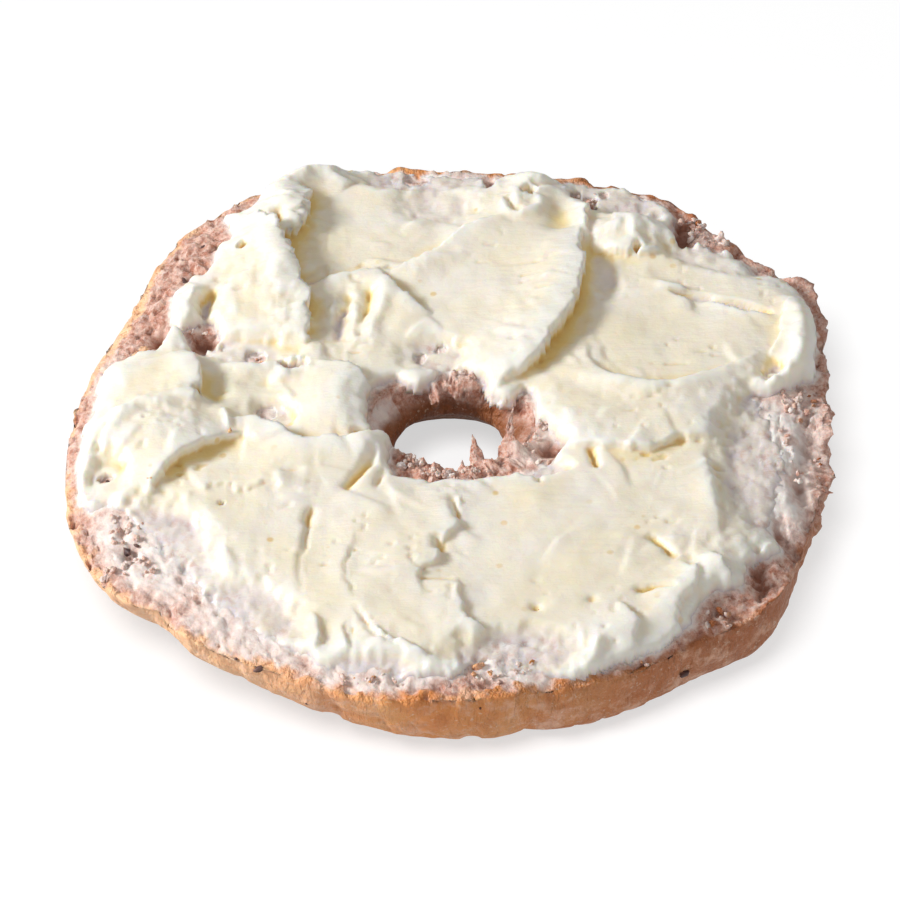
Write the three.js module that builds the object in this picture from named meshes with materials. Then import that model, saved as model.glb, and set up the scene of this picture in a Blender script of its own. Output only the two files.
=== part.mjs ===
// Half of a bagel, cut face up and thickly spread with butter.
// Millimetres, +Z up. The origin is on the resting plane, under the middle of the half.
import * as THREE from "three";

const cutHeight = 16; // resting plane to the cut face
const ringCentre = new THREE.Vector2(0, -2); // all radii are measured from here
const spreadGap = 0.3; // clearance between the crumb and the spread

// Radii at equal steps round the ring, counter-clockwise from +X.
const breadRim = [
  53.4, 55.6, 57.1, 57.9, 59.1, 57, 55.9, 58.6, 59.9, 57.9, 53.8, 53.4,
  54.2, 55.5, 56.7, 54.6, 53, 52.3, 52.1, 52, 52.4, 52.2, 53.3, 53.4,
];
const holeRim = [12.5, 10.5, 8, 10.5, 11.5, 8, 8.8, 9.8];
const spreadRim = [
  45.6, 52, 56.6, 57.5, 55.7, 53, 57.3, 55.6, 54.2, 54.1, 55.4, 57.1,
  55.5, 51.9, 48.1, 46.7, 46.2, 51, 51.3, 53, 50.7, 47.4, 47, 47.5,
  48, 49.4, 48.8, 48.2, 48.8, 50.7, 51, 50.2, 49.8, 50.5, 48, 47,
];
const spreadHoleRim = [
  13.3, 12.5, 9.4, 9.6, 10.5, 10.1, 9.7, 12.9, 12.9, 11.8, 10.3, 11.1, 13, 12.4, 12.1, 13.1, 15.3, 16,
];

// Side of the bread: a rounded section that stands squarer at the front right.
const sideReach = 21; // how far in the round side would run before it lay flat
const sideDepth = 17; // its full depth, a little past the resting plane
const sideSquareness = [2.9, 2.7, 2.1, 2.2, 2.1, 1.7, 2.8, 3.4];
const rimDrop = [2.4, 1.4, 0.8, 2.6, 2.8, 1.4, 1.2, 2.2]; // the crumb slopes down to the crust
const rimDropWidth = 8;
const crustCreases = [
  { bearing: 222, width: 4, depth: 1.5 },
  { bearing: 262, width: 4, depth: -0.5 }, // a negative depth stands out
  { bearing: 282, width: 4, depth: 0.7 },
  { bearing: 27, width: 8, depth: -3.5 },
  { bearing: 322, width: 9, depth: -3.1 },
];
const rimRises = [
  { bearing: 323, width: 5, rise: 1.8 },
  { bearing: 2, width: 9, rise: 1.3 },
  { bearing: 28, width: 7, rise: 0.8 },
];
const rimRiseWidth = 2.2;
// Hollows torn in the bare crumb.
const crumbPits = [
  { at: [14, -7], size: [2.2, 1.4], depth: 1.7 },
  { at: [-35.7, 15.2], size: [1.8, 2.2], depth: 2 },
  { at: [-42, 16.2], size: [1.6, 1.8], depth: 1.8 },
  { at: [34.6, 41], size: [1.9, 3.2], depth: 1.6 },
  { at: [49, -13], size: [1.8, 3.8], depth: 2 },
  { at: [50.5, -4], size: [1.6, 3.6], depth: 1.1 },
  { at: [42.2, -32], size: [1.8, 3.6], depth: 2.2 },
];

// Wall of the hole: narrowest part way down, then flaring to the base.
const holeWaist = 8;
const waistDepth = 5.5;
const holeBase = 18;
const holeFlare = 1.15; // 1 would flare in a straight line
const tornStrands = [
  { bearing: 305, width: 7, reach: 2.6, rise: 1.4 },
  { bearing: 332, width: 8, reach: 2.2, rise: 1.8 },
  { bearing: 258, width: 9, reach: 1.4, rise: 0.3 },
  { bearing: 80, width: 12, reach: 0.9, rise: 0.4 },
];

const crumbRelief = 0.8; // torn crumb and crags where no spread lies
const crustRelief = 0.35;
const marginShown = 0.6; // bare crumb left beside the spread at the least

// The spread: a base coat, soft rises and hollows, and crests left by the knife.
const coatThickness = 1.8;
const leastThickness = 0.6;
const coatEdgeRound = 2; // width over which its margin rounds down
const rises = [
  { at: [-30, 27], size: [6, 13], turn: -6, rise: 1.3 }, // slab at the upper left
  { at: [-24.5, 42], size: [4.5, 4.5], turn: 0, rise: 1.8 }, // its flap
  { at: [-38.2, 20.5], size: [2.6, 4.8], turn: -12, rise: 1.2 },
  { at: [-12, 38], size: [10, 9], turn: 0, rise: -0.6 }, // scraped basin beside it
  { at: [-15, 17], size: [4.5, 8], turn: 10, rise: -0.6 },
  { at: [-5, 12], size: [5, 4], turn: 0, rise: -0.6 },
  { at: [8, 39], size: [7, 5], turn: 0, rise: 0.5 },
  { at: [11, 44.5], size: [3, 3], turn: 0, rise: 1 },
  { at: [12.8, 49], size: [3.4, 2.2], turn: -8, rise: 1.6 },
  { at: [16.5, 41], size: [2.4, 4], turn: 0, rise: -0.9 },
  { at: [27, 37.8], size: [6.2, 3.4], turn: -8, rise: 2 },
  { at: [31, 17], size: [11, 9], turn: -20, rise: -0.6 }, // basin at the right
  { at: [46.4, 8.4], size: [2, 3], turn: -25, rise: -2.2 },
  { at: [27, -1], size: [16, 4.5], turn: 0, rise: 0.8 },
  { at: [20, -24], size: [14, 12], turn: 0, rise: 0.25 },
  { at: [35.5, -32], size: [2.6, 4.5], turn: -35, rise: 1.3 },
  { at: [-8, -32], size: [7, 12], turn: 0, rise: 0.6 },
  { at: [-42, -5.5], size: [8, 4.2], turn: 25, rise: 2.1 }, // swirl at the left
  { at: [-44, 5], size: [6, 5], turn: 0, rise: 0.7 },
  { at: [-33.4, 3], size: [2, 6], turn: 0, rise: -0.9 },
  { at: [-26, 5.5], size: [4.2, 2.6], turn: 0, rise: -1 },
  { at: [-16.5, 0], size: [5, 6], turn: 0, rise: 1.6 }, // lobe beside the hole
  { at: [-11, -8], size: [3.2, 3.2], turn: 40, rise: 1 },
];
// The high side of a crest lies to the left of its path; past it the butter drops to a scoop.
const crests = [
  {
    path: [[-20.6, 13], [-20.8, 17.3], [-22.2, 22], [-23.3, 25], [-25, 33], [-26.4, 37], [-28.5, 41]],
    lift: 2.6, high: 5, scoop: 1,
  },
  {
    path: [[-25, 36], [-22.8, 37], [-21.4, 38.8], [-21.2, 41.5], [-20.3, 44.2], [-22, 47.5]],
    lift: 2.5, high: 5, scoop: 0.6,
  },
  {
    path: [[7, 4.6], [11.5, 9.4], [14.5, 13], [16.5, 17], [19, 24.5], [19.8, 28.5], [19.6, 32], [15.5, 35.5]],
    lift: 2.9, high: 7, scoop: 1,
  },
  { path: [[-3, 19], [-4.2, 20.5], [-7.5, 23.5], [-9, 26], [-11, 29]], lift: 1.1, high: 3, scoop: 0.5 },
  { path: [[20.5, 34.6], [24, 33.4], [29, 32.8], [32, 34.2]], lift: 0.9, high: 3, scoop: 0.5 },
  {
    path: [[45, 11.5], [38, 7.2], [33, 4.6], [28, 4], [22.5, 6.3], [20, 10], [19.5, 14]],
    lift: 0.8, high: 3, scoop: 0.2,
  },
  {
    path: [[50, 23], [47.5, 19.5], [44.8, 15.5], [44, 11.5], [45.5, 7.5]],
    lift: 1.2, high: 2, scoop: 0.6,
  },
  {
    path: [[53.4, 21], [53.6, 15], [53.3, 9], [51.5, 5.2], [48.5, 2.2], [45, 0.8], [41, 1.5]],
    lift: 2, high: 4.5, scoop: 0,
  },
  {
    path: [[13.5, -6.5], [18, -7.7], [23, -8.4], [28, -8.4], [32, -6.5], [40, -6.5]],
    lift: 1.2, high: 5, scoop: 0.2,
  },
  {
    path: [[-4.2, -38], [-4.5, -33.5], [-2, -30.5], [1, -23.5], [0, -16]],
    lift: 0.7, high: 4, scoop: 0.5,
  },
  {
    path: [[8.4, -50], [7, -47.5], [5, -44.5], [2, -42], [1.5, -39], [1, -34]],
    lift: 0.7, high: 4, scoop: 0.3,
  },
  {
    path: [[-42.3, -17.5], [-41, -15.2], [-39.5, -12], [-37, -9.5], [-33, -7], [-29, -6.3]],
    lift: 2.3, high: 4, scoop: 1,
  },
  {
    path: [[-7.5, -7], [-10, -6], [-14, -8.2], [-21, -8], [-24, -6], [-28, -3], [-31.5, -4]],
    lift: 1.6, high: 4.5, scoop: 0.7,
  },
  { path: [[-36.3, -0.5], [-35.9, 4], [-36.4, 8], [-38, 12]], lift: 2.1, high: 5, scoop: 0.9 },
  {
    path: [[-11.5, -5], [-11.2, -1], [-11.8, 3], [-14.5, 7.5], [-19, 9]],
    lift: 1.1, high: 4, scoop: 0.5,
  },
  { path: [[-20, -37], [-20.2, -27], [-19.8, -18]], lift: 0.5, high: 2.2, scoop: 0.5 },
  { path: [[-13.2, -39], [-14, -33], [-13.7, -25]], lift: 0.5, high: 2.2, scoop: 0.5 },
  { path: [[38.5, -37], [37.2, -33], [36, -29.5]], lift: 1.1, high: 2.5, scoop: 0.6 },
];
// Rounded ridges where the knife turned.
const ridges = [
  {
    path: [[-28.5, 45], [-24, 48.3], [-21, 50], [-18.5, 50.6], [-16, 49.8], [-14.5, 48.5]],
    lift: 3.2, width: 2.2,
  },
  {
    path: [[51.4, 22.5], [51.6, 16], [51, 10.5], [49.5, 5.5], [46, 2.5], [42, 1.5]],
    lift: 2.6, width: 2.4,
  },
  {
    path: [[-51, -17], [-50.8, -12], [-49.5, -7], [-46.5, -3], [-42, -0.6], [-35, 0.5], [-31, -1.5]],
    lift: 1.6, width: 1.8,
  },
  { path: [[14, 9], [22, 5], [30, 3], [38, 5.5], [42, 8]], lift: 0.6, width: 1.5 },
];
// Places scraped down to a film.
const films = [
  { at: [-4, 50.2], size: [12, 3.4], turn: 0 },
  { at: [24.5, 45.5], size: [9, 4.2], turn: -20 },
  { at: [-2.5, 11.5], size: [5.5, 3.4], turn: 0 },
  { at: [-29, 12.5], size: [7.5, 3], turn: 0 },
  { at: [-25, -0.6], size: [3.6, 2.6], turn: -35 },
  { at: [43.4, -11], size: [6.2, 14.5], turn: 0 },
  { at: [-38, -25.5], size: [5, 10], turn: 30 },
  { at: [-27, -39], size: [5, 9], turn: 50 },
  { at: [-12, -49.6], size: [9, 2.4], turn: 0 },
  { at: [9, -46.8], size: [9.5, 4.4], turn: 4 },
  { at: [12.5, -11.5], size: [4, 2.2], turn: 0 },
];
const crestDrop = 0.9; // width of the steep side
const scoopReach = 2.2;

// Facets: steps round the ring and along each section.
const breadSteps = { round: 90, covered: 3, shown: 5, side: 9, base: 2, wall: 7 };
const spreadSteps = { round: 116, top: 30, under: 4 };
const underStep = 2.4; // between the rows of the underside where the crumb slopes

const breadMaterial = new THREE.MeshStandardMaterial({ color: 0xd99a6c, roughness: 0.8, metalness: 0 });
const spreadMaterial = new THREE.MeshStandardMaterial({ color: 0xf3ebd6, roughness: 0.4, metalness: 0 });

const { clamp, lerp, smoothstep, degToRad, euclideanModulo } = THREE.MathUtils;

// Value at a bearing from values spaced evenly round the circle, on a smooth closed curve.
function around(values, angle) {
  const place = euclideanModulo(angle / (2 * Math.PI), 1) * values.length;
  const index = Math.floor(place);
  const value = (offset) => values[(index + offset + values.length) % values.length];
  const [before, from, to, after] = [-1, 0, 1, 2].map(value);
  const t = place - index;
  const tangentFrom = (to - before) / 2;
  const tangentTo = (after - from) / 2;
  const bend = 2 * (from - to) + tangentFrom + tangentTo;
  const slope = 3 * (to - from) - 2 * tangentFrom - tangentTo;
  return ((bend * t + slope) * t + tangentFrom) * t + from;
}

function bell(distance, width) {
  return Math.exp(-((distance / width) ** 2));
}

// Narrow feature centred on a bearing given in degrees.
function nearBearing(angle, { bearing, width }) {
  const turn = euclideanModulo(angle - degToRad(bearing) + Math.PI, 2 * Math.PI) - Math.PI;
  return bell(turn, degToRad(width));
}

// Repeatable number from -1 to 1 at a lattice corner.
function cornerNoise(i, j, k) {
  let h = Math.imul(i, 374761393) ^ Math.imul(j, 668265263) ^ Math.imul(k, 2147483587);
  h = Math.imul(h ^ (h >>> 13), 1274126177);
  return ((h ^ (h >>> 16)) & 0xffff) / 0x8000 - 1;
}

// Smooth noise from -1 to 1 whose lumps are about `size` across.
function lumps(x, y, z, size) {
  const cell = [x, y, z].map((v) => Math.floor(v / size));
  const part = [x, y, z].map((v, n) => smoothstep(v / size - cell[n], 0, 1));
  let sum = 0;
  for (let corner = 0; corner < 8; corner++) {
    const step = [corner & 1, (corner >> 1) & 1, corner >> 2];
    const weight = step.reduce((w, s, n) => w * (s ? part[n] : 1 - part[n]), 1);
    sum += weight * cornerNoise(cell[0] + step[0], cell[1] + step[1], cell[2] + step[2]);
  }
  return sum;
}

function polar(angle, radius) {
  return [ringCentre.x + radius * Math.cos(angle), ringCentre.y + radius * Math.sin(angle)];
}

// Closed ring of facets from a loop of points at each bearing.
function ringGeometry(steps, sectionAt) {
  const positions = [];
  const indices = [];
  let count = 0;
  for (let i = 0; i < steps; i++) {
    const section = sectionAt((i / steps) * 2 * Math.PI);
    count = section.length;
    section.forEach((point) => positions.push(...point));
  }
  for (let i = 0; i < steps; i++) {
    const near = i * count;
    const far = ((i + 1) % steps) * count;
    for (let j = 0; j < count; j++) {
      const next = (j + 1) % count;
      indices.push(near + j, near + next, far + next);
      indices.push(near + j, far + next, far + j);
    }
  }
  const geometry = new THREE.BufferGeometry();
  geometry.setAttribute("position", new THREE.Float32BufferAttribute(positions, 3));
  geometry.setIndex(indices);
  geometry.computeVertexNormals();
  return geometry;
}

// How far a point lies from an ellipse's middle, as a share of its half sizes.
function ellipsePlace({ at, size, turn = 0 }, x, y) {
  const offset = new THREE.Vector2(x - at[0], y - at[1]);
  offset.rotateAround(new THREE.Vector2(), -degToRad(turn));
  return Math.hypot(offset.x / size[0], offset.y / size[1]);
}

function creaseDepth(angle) {
  return crustCreases.reduce((sum, crease) => sum + crease.depth * nearBearing(angle, crease), 0);
}

function rimAt(angle) {
  return around(breadRim, angle) - creaseDepth(angle);
}

// Height of the cut face, which slopes away close to the crust.
function cutFace(angle, radius) {
  const slope = clamp((radius - rimAt(angle)) / rimDropWidth + 1, 0, 1);
  return cutHeight - around(rimDrop, angle) * slope ** 2;
}

function rimRise(angle, radius) {
  const rise = rimRises.reduce((sum, hump) => sum + hump.rise * nearBearing(angle, hump), 0);
  return rise * bell(radius - rimAt(angle), rimRiseWidth);
}

function outsideOfSpread(angle, radius) {
  const past = radius - around(spreadRim, angle);
  const inside = around(spreadHoleRim, angle) - radius;
  return smoothstep(Math.max(past, inside), 0.3, 2);
}

function topOfCrumb(angle, radius) {
  const [x, y] = polar(angle, radius);
  const crags = crumbRelief * (lumps(x, y, 0, 3.5) - 0.6);
  const pits = crumbPits.reduce((sum, pit) => sum + pit.depth * bell(ellipsePlace(pit, x, y), 1), 0);
  const bare = outsideOfSpread(angle, radius);
  return [x, y, cutFace(angle, radius) + (crags - pits + rimRise(angle, radius)) * bare];
}

// Side from the rim down to the resting plane, along a rounded section.
function sideOfCrust(angle, share) {
  const power = 2 / around(sideSquareness, angle);
  const turnAt = (depth) => Math.asin((depth / sideDepth) ** (1 / power));
  const turn = lerp(turnAt(around(rimDrop, angle)), turnAt(cutHeight), share);
  const inset = sideReach * (1 - Math.cos(turn) ** power);
  const depth = sideDepth * Math.sin(turn) ** power;
  const radius = around(breadRim, angle) - inset - creaseDepth(angle) * (1 - share ** 2);
  const [x, y] = polar(angle, radius);
  const bumps = crustRelief * lumps(x, y, depth, 7) * Math.sin(Math.PI * share);
  const lifted = rimRise(angle, rimAt(angle)) * (1 - share) ** 4;
  return [...polar(angle, radius + bumps), cutHeight - depth + lifted];
}

function wallOfHole(angle, share) {
  const depth = cutHeight * (1 - share);
  const rim = around(holeRim, angle);
  const narrow = Math.min(rim, holeWaist);
  const above = lerp(rim, narrow, smoothstep(depth, 0, waistDepth));
  const belowWaist = clamp((depth - waistDepth) / (cutHeight - waistDepth), 0, 1);
  const below = (holeBase - narrow) * belowWaist ** holeFlare;
  const [x, y] = polar(angle, rim);
  const crags = crumbRelief * lumps(x, y, depth, 2.5) * Math.sin(Math.PI * share);
  const torn = tornStrands.reduce(
    (sum, strand) => sum + strand.reach * nearBearing(angle, strand) * bell(depth - 2, 2.6),
    0,
  );
  const lifted = tornStrands.reduce((sum, strand) => sum + strand.rise * nearBearing(angle, strand), 0);
  return [...polar(angle, above + below + crags - torn), cutHeight - depth + lifted * bell(depth, 2)];
}

function breadSection(angle) {
  const { covered, shown, side, base, wall } = breadSteps;
  const rim = rimAt(angle);
  const innerMargin = around(spreadHoleRim, angle) - marginShown;
  const outerMargin = Math.min(around(spreadRim, angle) + marginShown, rim - 2 * marginShown);
  const section = [];
  for (let i = 0; i <= covered; i++) {
    section.push(topOfCrumb(angle, lerp(innerMargin, outerMargin, i / covered)));
  }
  for (let i = 1; i <= shown; i++) {
    section.push(topOfCrumb(angle, lerp(outerMargin, rim, i / shown)));
  }
  for (let i = 1; i <= side; i++) {
    section.push(sideOfCrust(angle, i / side));
  }
  const baseRim = Math.hypot(section.at(-1)[0] - ringCentre.x, section.at(-1)[1] - ringCentre.y);
  for (let i = 1; i <= base; i++) {
    section.push([...polar(angle, lerp(baseRim, holeBase, i / (base + 1))), 0]);
  }
  for (let i = 0; i <= wall; i++) {
    section.push(wallOfHole(angle, i / wall));
  }
  return section;
}

// Distance from a point to a stroke's path, positive to its left, and the share of the way along it.
function besidePath(path, x, y) {
  let best = { distance: Infinity, share: 0 };
  for (let i = 0; i + 1 < path.length; i++) {
    const [ax, ay] = path[i];
    const along = [path[i + 1][0] - ax, path[i + 1][1] - ay];
    const length = Math.hypot(...along);
    const share = clamp(((x - ax) * along[0] + (y - ay) * along[1]) / length ** 2, 0, 1);
    const off = [x - ax - share * along[0], y - ay - share * along[1]];
    const distance = Math.hypot(...off);
    if (distance < Math.abs(best.distance)) {
      const side = Math.sign(along[0] * off[1] - along[1] * off[0]) || 1;
      best = { distance: side * distance, share: (i + share) / (path.length - 1) };
    }
  }
  return best;
}

// A stroke fades to nothing at both ends.
function strokeTaper(share) {
  return Math.sin(Math.PI * clamp(share, 0, 1)) ** 0.6;
}

// Thickness of the spread over the cut face.
function spreadThickness(x, y) {
  let thickness = coatThickness + 0.15 * lumps(x, y, 5, 6);
  for (const mound of rises) {
    thickness += mound.rise * bell(ellipsePlace(mound, x, y), 1);
  }
  for (const { path, lift, high, scoop } of crests) {
    const { distance, share } = besidePath(path, x, y);
    const low = Math.max(-distance, 0);
    const raised = distance > 0 ? bell(distance, high) : bell(distance, crestDrop);
    const scooped = (low / scoopReach) * Math.exp(1 - low / scoopReach);
    thickness += strokeTaper(share) * (lift * raised - scoop * scooped);
  }
  for (const { path, lift, width } of ridges) {
    const { distance, share } = besidePath(path, x, y);
    thickness += strokeTaper(share) * lift * bell(distance, width);
  }
  for (const film of films) {
    const weight = 1 - smoothstep(ellipsePlace(film, x, y), 0.55, 1.25);
    thickness = lerp(thickness, leastThickness, weight);
  }
  return thickness;
}

function spreadSection(angle) {
  const { top, under } = spreadSteps;
  const inner = around(spreadHoleRim, angle);
  const outer = around(spreadRim, angle);
  const section = [];
  for (let i = 0; i <= top; i++) {
    const radius = lerp(inner, outer, i / top);
    const [x, y] = polar(angle, radius);
    const fromEdge = clamp(Math.min(radius - inner, outer - radius) / coatEdgeRound, 0, 1);
    const rounded = Math.sqrt(1 - (1 - fromEdge) ** 2);
    const thickness = leastThickness + Math.max(spreadThickness(x, y) - leastThickness, 0) * rounded;
    section.push([x, y, cutFace(angle, radius) + spreadGap + thickness]);
  }
  for (let i = 0; i <= under; i++) {
    const radius = outer - i * underStep;
    section.push([...polar(angle, radius), cutFace(angle, radius) + spreadGap]);
  }
  section.push([...polar(angle, inner), cutHeight + spreadGap]);
  return section;
}

function namedMesh(name, geometry, material) {
  const mesh = new THREE.Mesh(geometry, material);
  mesh.name = name;
  return mesh;
}

const bagelHalf = new THREE.Group();
bagelHalf.add(namedMesh("bread", ringGeometry(breadSteps.round, breadSection), breadMaterial));
bagelHalf.add(namedMesh("butter", ringGeometry(spreadSteps.round, spreadSection), spreadMaterial));

export default bagelHalf;
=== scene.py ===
import math
import random
import bmesh
import bpy
import numpy as np
from mathutils import Matrix, Vector, noise


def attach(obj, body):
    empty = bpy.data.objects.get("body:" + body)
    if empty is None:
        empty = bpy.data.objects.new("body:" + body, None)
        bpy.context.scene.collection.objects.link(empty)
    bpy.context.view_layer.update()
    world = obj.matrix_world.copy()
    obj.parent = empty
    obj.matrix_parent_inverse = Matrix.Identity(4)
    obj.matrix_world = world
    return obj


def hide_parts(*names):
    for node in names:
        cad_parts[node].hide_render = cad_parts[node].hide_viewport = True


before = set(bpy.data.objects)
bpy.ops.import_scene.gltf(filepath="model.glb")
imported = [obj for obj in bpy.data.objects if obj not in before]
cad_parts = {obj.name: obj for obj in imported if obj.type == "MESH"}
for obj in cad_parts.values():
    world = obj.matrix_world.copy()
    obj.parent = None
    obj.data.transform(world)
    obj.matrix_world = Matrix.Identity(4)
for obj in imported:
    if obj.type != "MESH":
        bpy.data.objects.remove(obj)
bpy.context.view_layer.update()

# Half a bagel, cut face up, spread with butter. Shapes are worked out in millimetres.
mm = 0.001
cutHeight = 16.0  # resting plane to the cut face
ringCentre = (0.0, -2.0)


def around(values, angle):  # values evenly spaced round the ring, joined by a smooth closed curve
    values = np.asarray(values, float)
    place = (angle / (2 * math.pi)) % 1.0 * len(values)
    index = np.floor(place).astype(int)
    t = place - index
    before, start, stop, after = (values[(index + k) % len(values)] for k in (-1, 0, 1, 2))
    tangentStart, tangentStop = (stop - before) / 2, (after - start) / 2
    bend = 2 * (start - stop) + tangentStart + tangentStop
    slope = 3 * (stop - start) - 2 * tangentStart - tangentStop
    return ((bend * t + slope) * t + tangentStart) * t + start


def bell(distance, width):
    return np.exp(-(distance / width) ** 2)


def smooth(value, low, high):
    t = np.clip((value - low) / (high - low), 0, 1)
    return t * t * (3 - 2 * t)


def nearBearing(angle, bearing, width):  # narrow feature round the ring, both in degrees
    turn = (angle - math.radians(bearing) + math.pi) % (2 * math.pi) - math.pi
    return bell(turn, math.radians(width))


def latticeValue(i, j, k, seed):  # repeatable number from 0 to 1 at a lattice corner
    h = i.astype(np.uint32) * np.uint32(374761393) + j.astype(np.uint32) * np.uint32(668265263)
    h = h + k.astype(np.uint32) * np.uint32(2147483587) + np.uint32(seed * 1013904223 % 2 ** 32)
    h = (h ^ (h >> np.uint32(13))) * np.uint32(1274126177)
    h = (h ^ (h >> np.uint32(15))) * np.uint32(2246822519)
    return ((h ^ (h >> np.uint32(16))) & np.uint32(0xFFFF)) / 65535.0


def lumps(points, size, seed=0):  # smooth noise from -1 to 1, lumps about one size across
    scaled = points / np.asarray(size, float)
    cell = np.floor(scaled).astype(np.int64)
    part = scaled - cell
    part = part * part * (3 - 2 * part)
    total = np.zeros(len(points))
    for corner in range(8):
        step = (corner & 1, corner >> 1 & 1, corner >> 2)
        weight = np.prod([part[:, n] if step[n] else 1 - part[:, n] for n in range(3)], axis=0)
        total += weight * latticeValue(*(cell[:, n] + step[n] for n in range(3)), seed)
    return total * 2 - 1


def layered(points, layers):  # noise added up from layers of amount, size and seed
    return sum(amount * lumps(points, size, seed) for amount, size, seed in layers)


def ringPoint(angle, radius):
    return ringCentre[0] + radius * np.cos(angle), ringCentre[1] + radius * np.sin(angle)


def ringPlace(x, y):
    return np.arctan2(y - ringCentre[1], x - ringCentre[0]), np.hypot(x - ringCentre[0], y - ringCentre[1])


def inPatch(x, y, centreX, centreY, sizeX, sizeY, turn):  # place in a turned patch, in its half sizes
    cosTurn, sinTurn = math.cos(math.radians(turn)), math.sin(math.radians(turn))
    dx, dy = x - centreX, y - centreY
    return (dx * cosTurn + dy * sinTurn) / sizeX, (dy * cosTurn - dx * sinTurn) / sizeY


def softPath(points, perSpan=4):  # a smooth run of points through the ones given
    p = np.asarray(points, float)
    p = np.vstack([2 * p[0] - p[1], p, 2 * p[-1] - p[-2]])
    out = []
    for a, b, c, d in zip(p, p[1:], p[2:], p[3:]):
        for t in np.arange(perSpan) / perSpan:
            out.append(0.5 * (2 * b + (c - a) * t + (2 * a - 5 * b + 4 * c - d) * t ** 2
                              + (3 * b - a - 3 * c + d) * t ** 3))
    return np.array(out + [p[-2]])


def nearPath(path, x, y, reach):  # which points lie close enough to a path to feel it
    low, high = path.min(axis=0) - reach, path.max(axis=0) + reach
    return np.flatnonzero((x > low[0]) & (x < high[0]) & (y > low[1]) & (y < high[1]))


def besidePath(path, x, y):  # signed distance (left is positive), share of the length, way to the left
    best = np.full(len(x), 1e9)
    side, share = np.ones(len(x)), np.zeros(len(x))
    lengths = np.linalg.norm(np.diff(path, axis=0), axis=1)
    run = np.concatenate([[0], np.cumsum(lengths)])
    offX, offY = np.zeros(len(x)), np.zeros(len(x))
    for (ax, ay), (bx, by), length, done in zip(path, path[1:], lengths, run):
        ux, uy = (bx - ax) / length, (by - ay) / length
        t = np.clip((x - ax) * ux + (y - ay) * uy, 0, length)
        dx, dy = x - ax - t * ux, y - ay - t * uy
        distance = np.hypot(dx, dy)
        closer = distance < best
        best[closer] = distance[closer]
        side[closer] = np.where(ux * dy - uy * dx >= 0, 1, -1)[closer]
        share[closer] = ((done + t) / run[-1])[closer]
        offX[closer], offY[closer] = -uy, ux
    return best * side, share, offX, offY


def insideOutline(points, x, y):  # distance inside a closed outline, negative outside it
    path = np.asarray(points, float)
    best = np.full(len(x), 1e9)
    inside = np.zeros(len(x), bool)
    for (ax, ay), (bx, by) in zip(path, np.roll(path, -1, axis=0)):
        ux, uy = bx - ax, by - ay
        t = np.clip(((x - ax) * ux + (y - ay) * uy) / (ux * ux + uy * uy), 0, 1)
        best = np.minimum(best, np.hypot(x - ax - t * ux, y - ay - t * uy))
        if ay != by:
            inside ^= ((ay > y) != (by > y)) & (x < ax + (y - ay) * ux / uy)
    return np.where(inside, best, -best)


def closedPath(points, perSpan=3):
    ring = [tuple(p) for p in points]
    path = softPath(ring[-2:] + ring + ring[:2], perSpan)
    return path[2 * perSpan:-2 * perSpan - 1]


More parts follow.
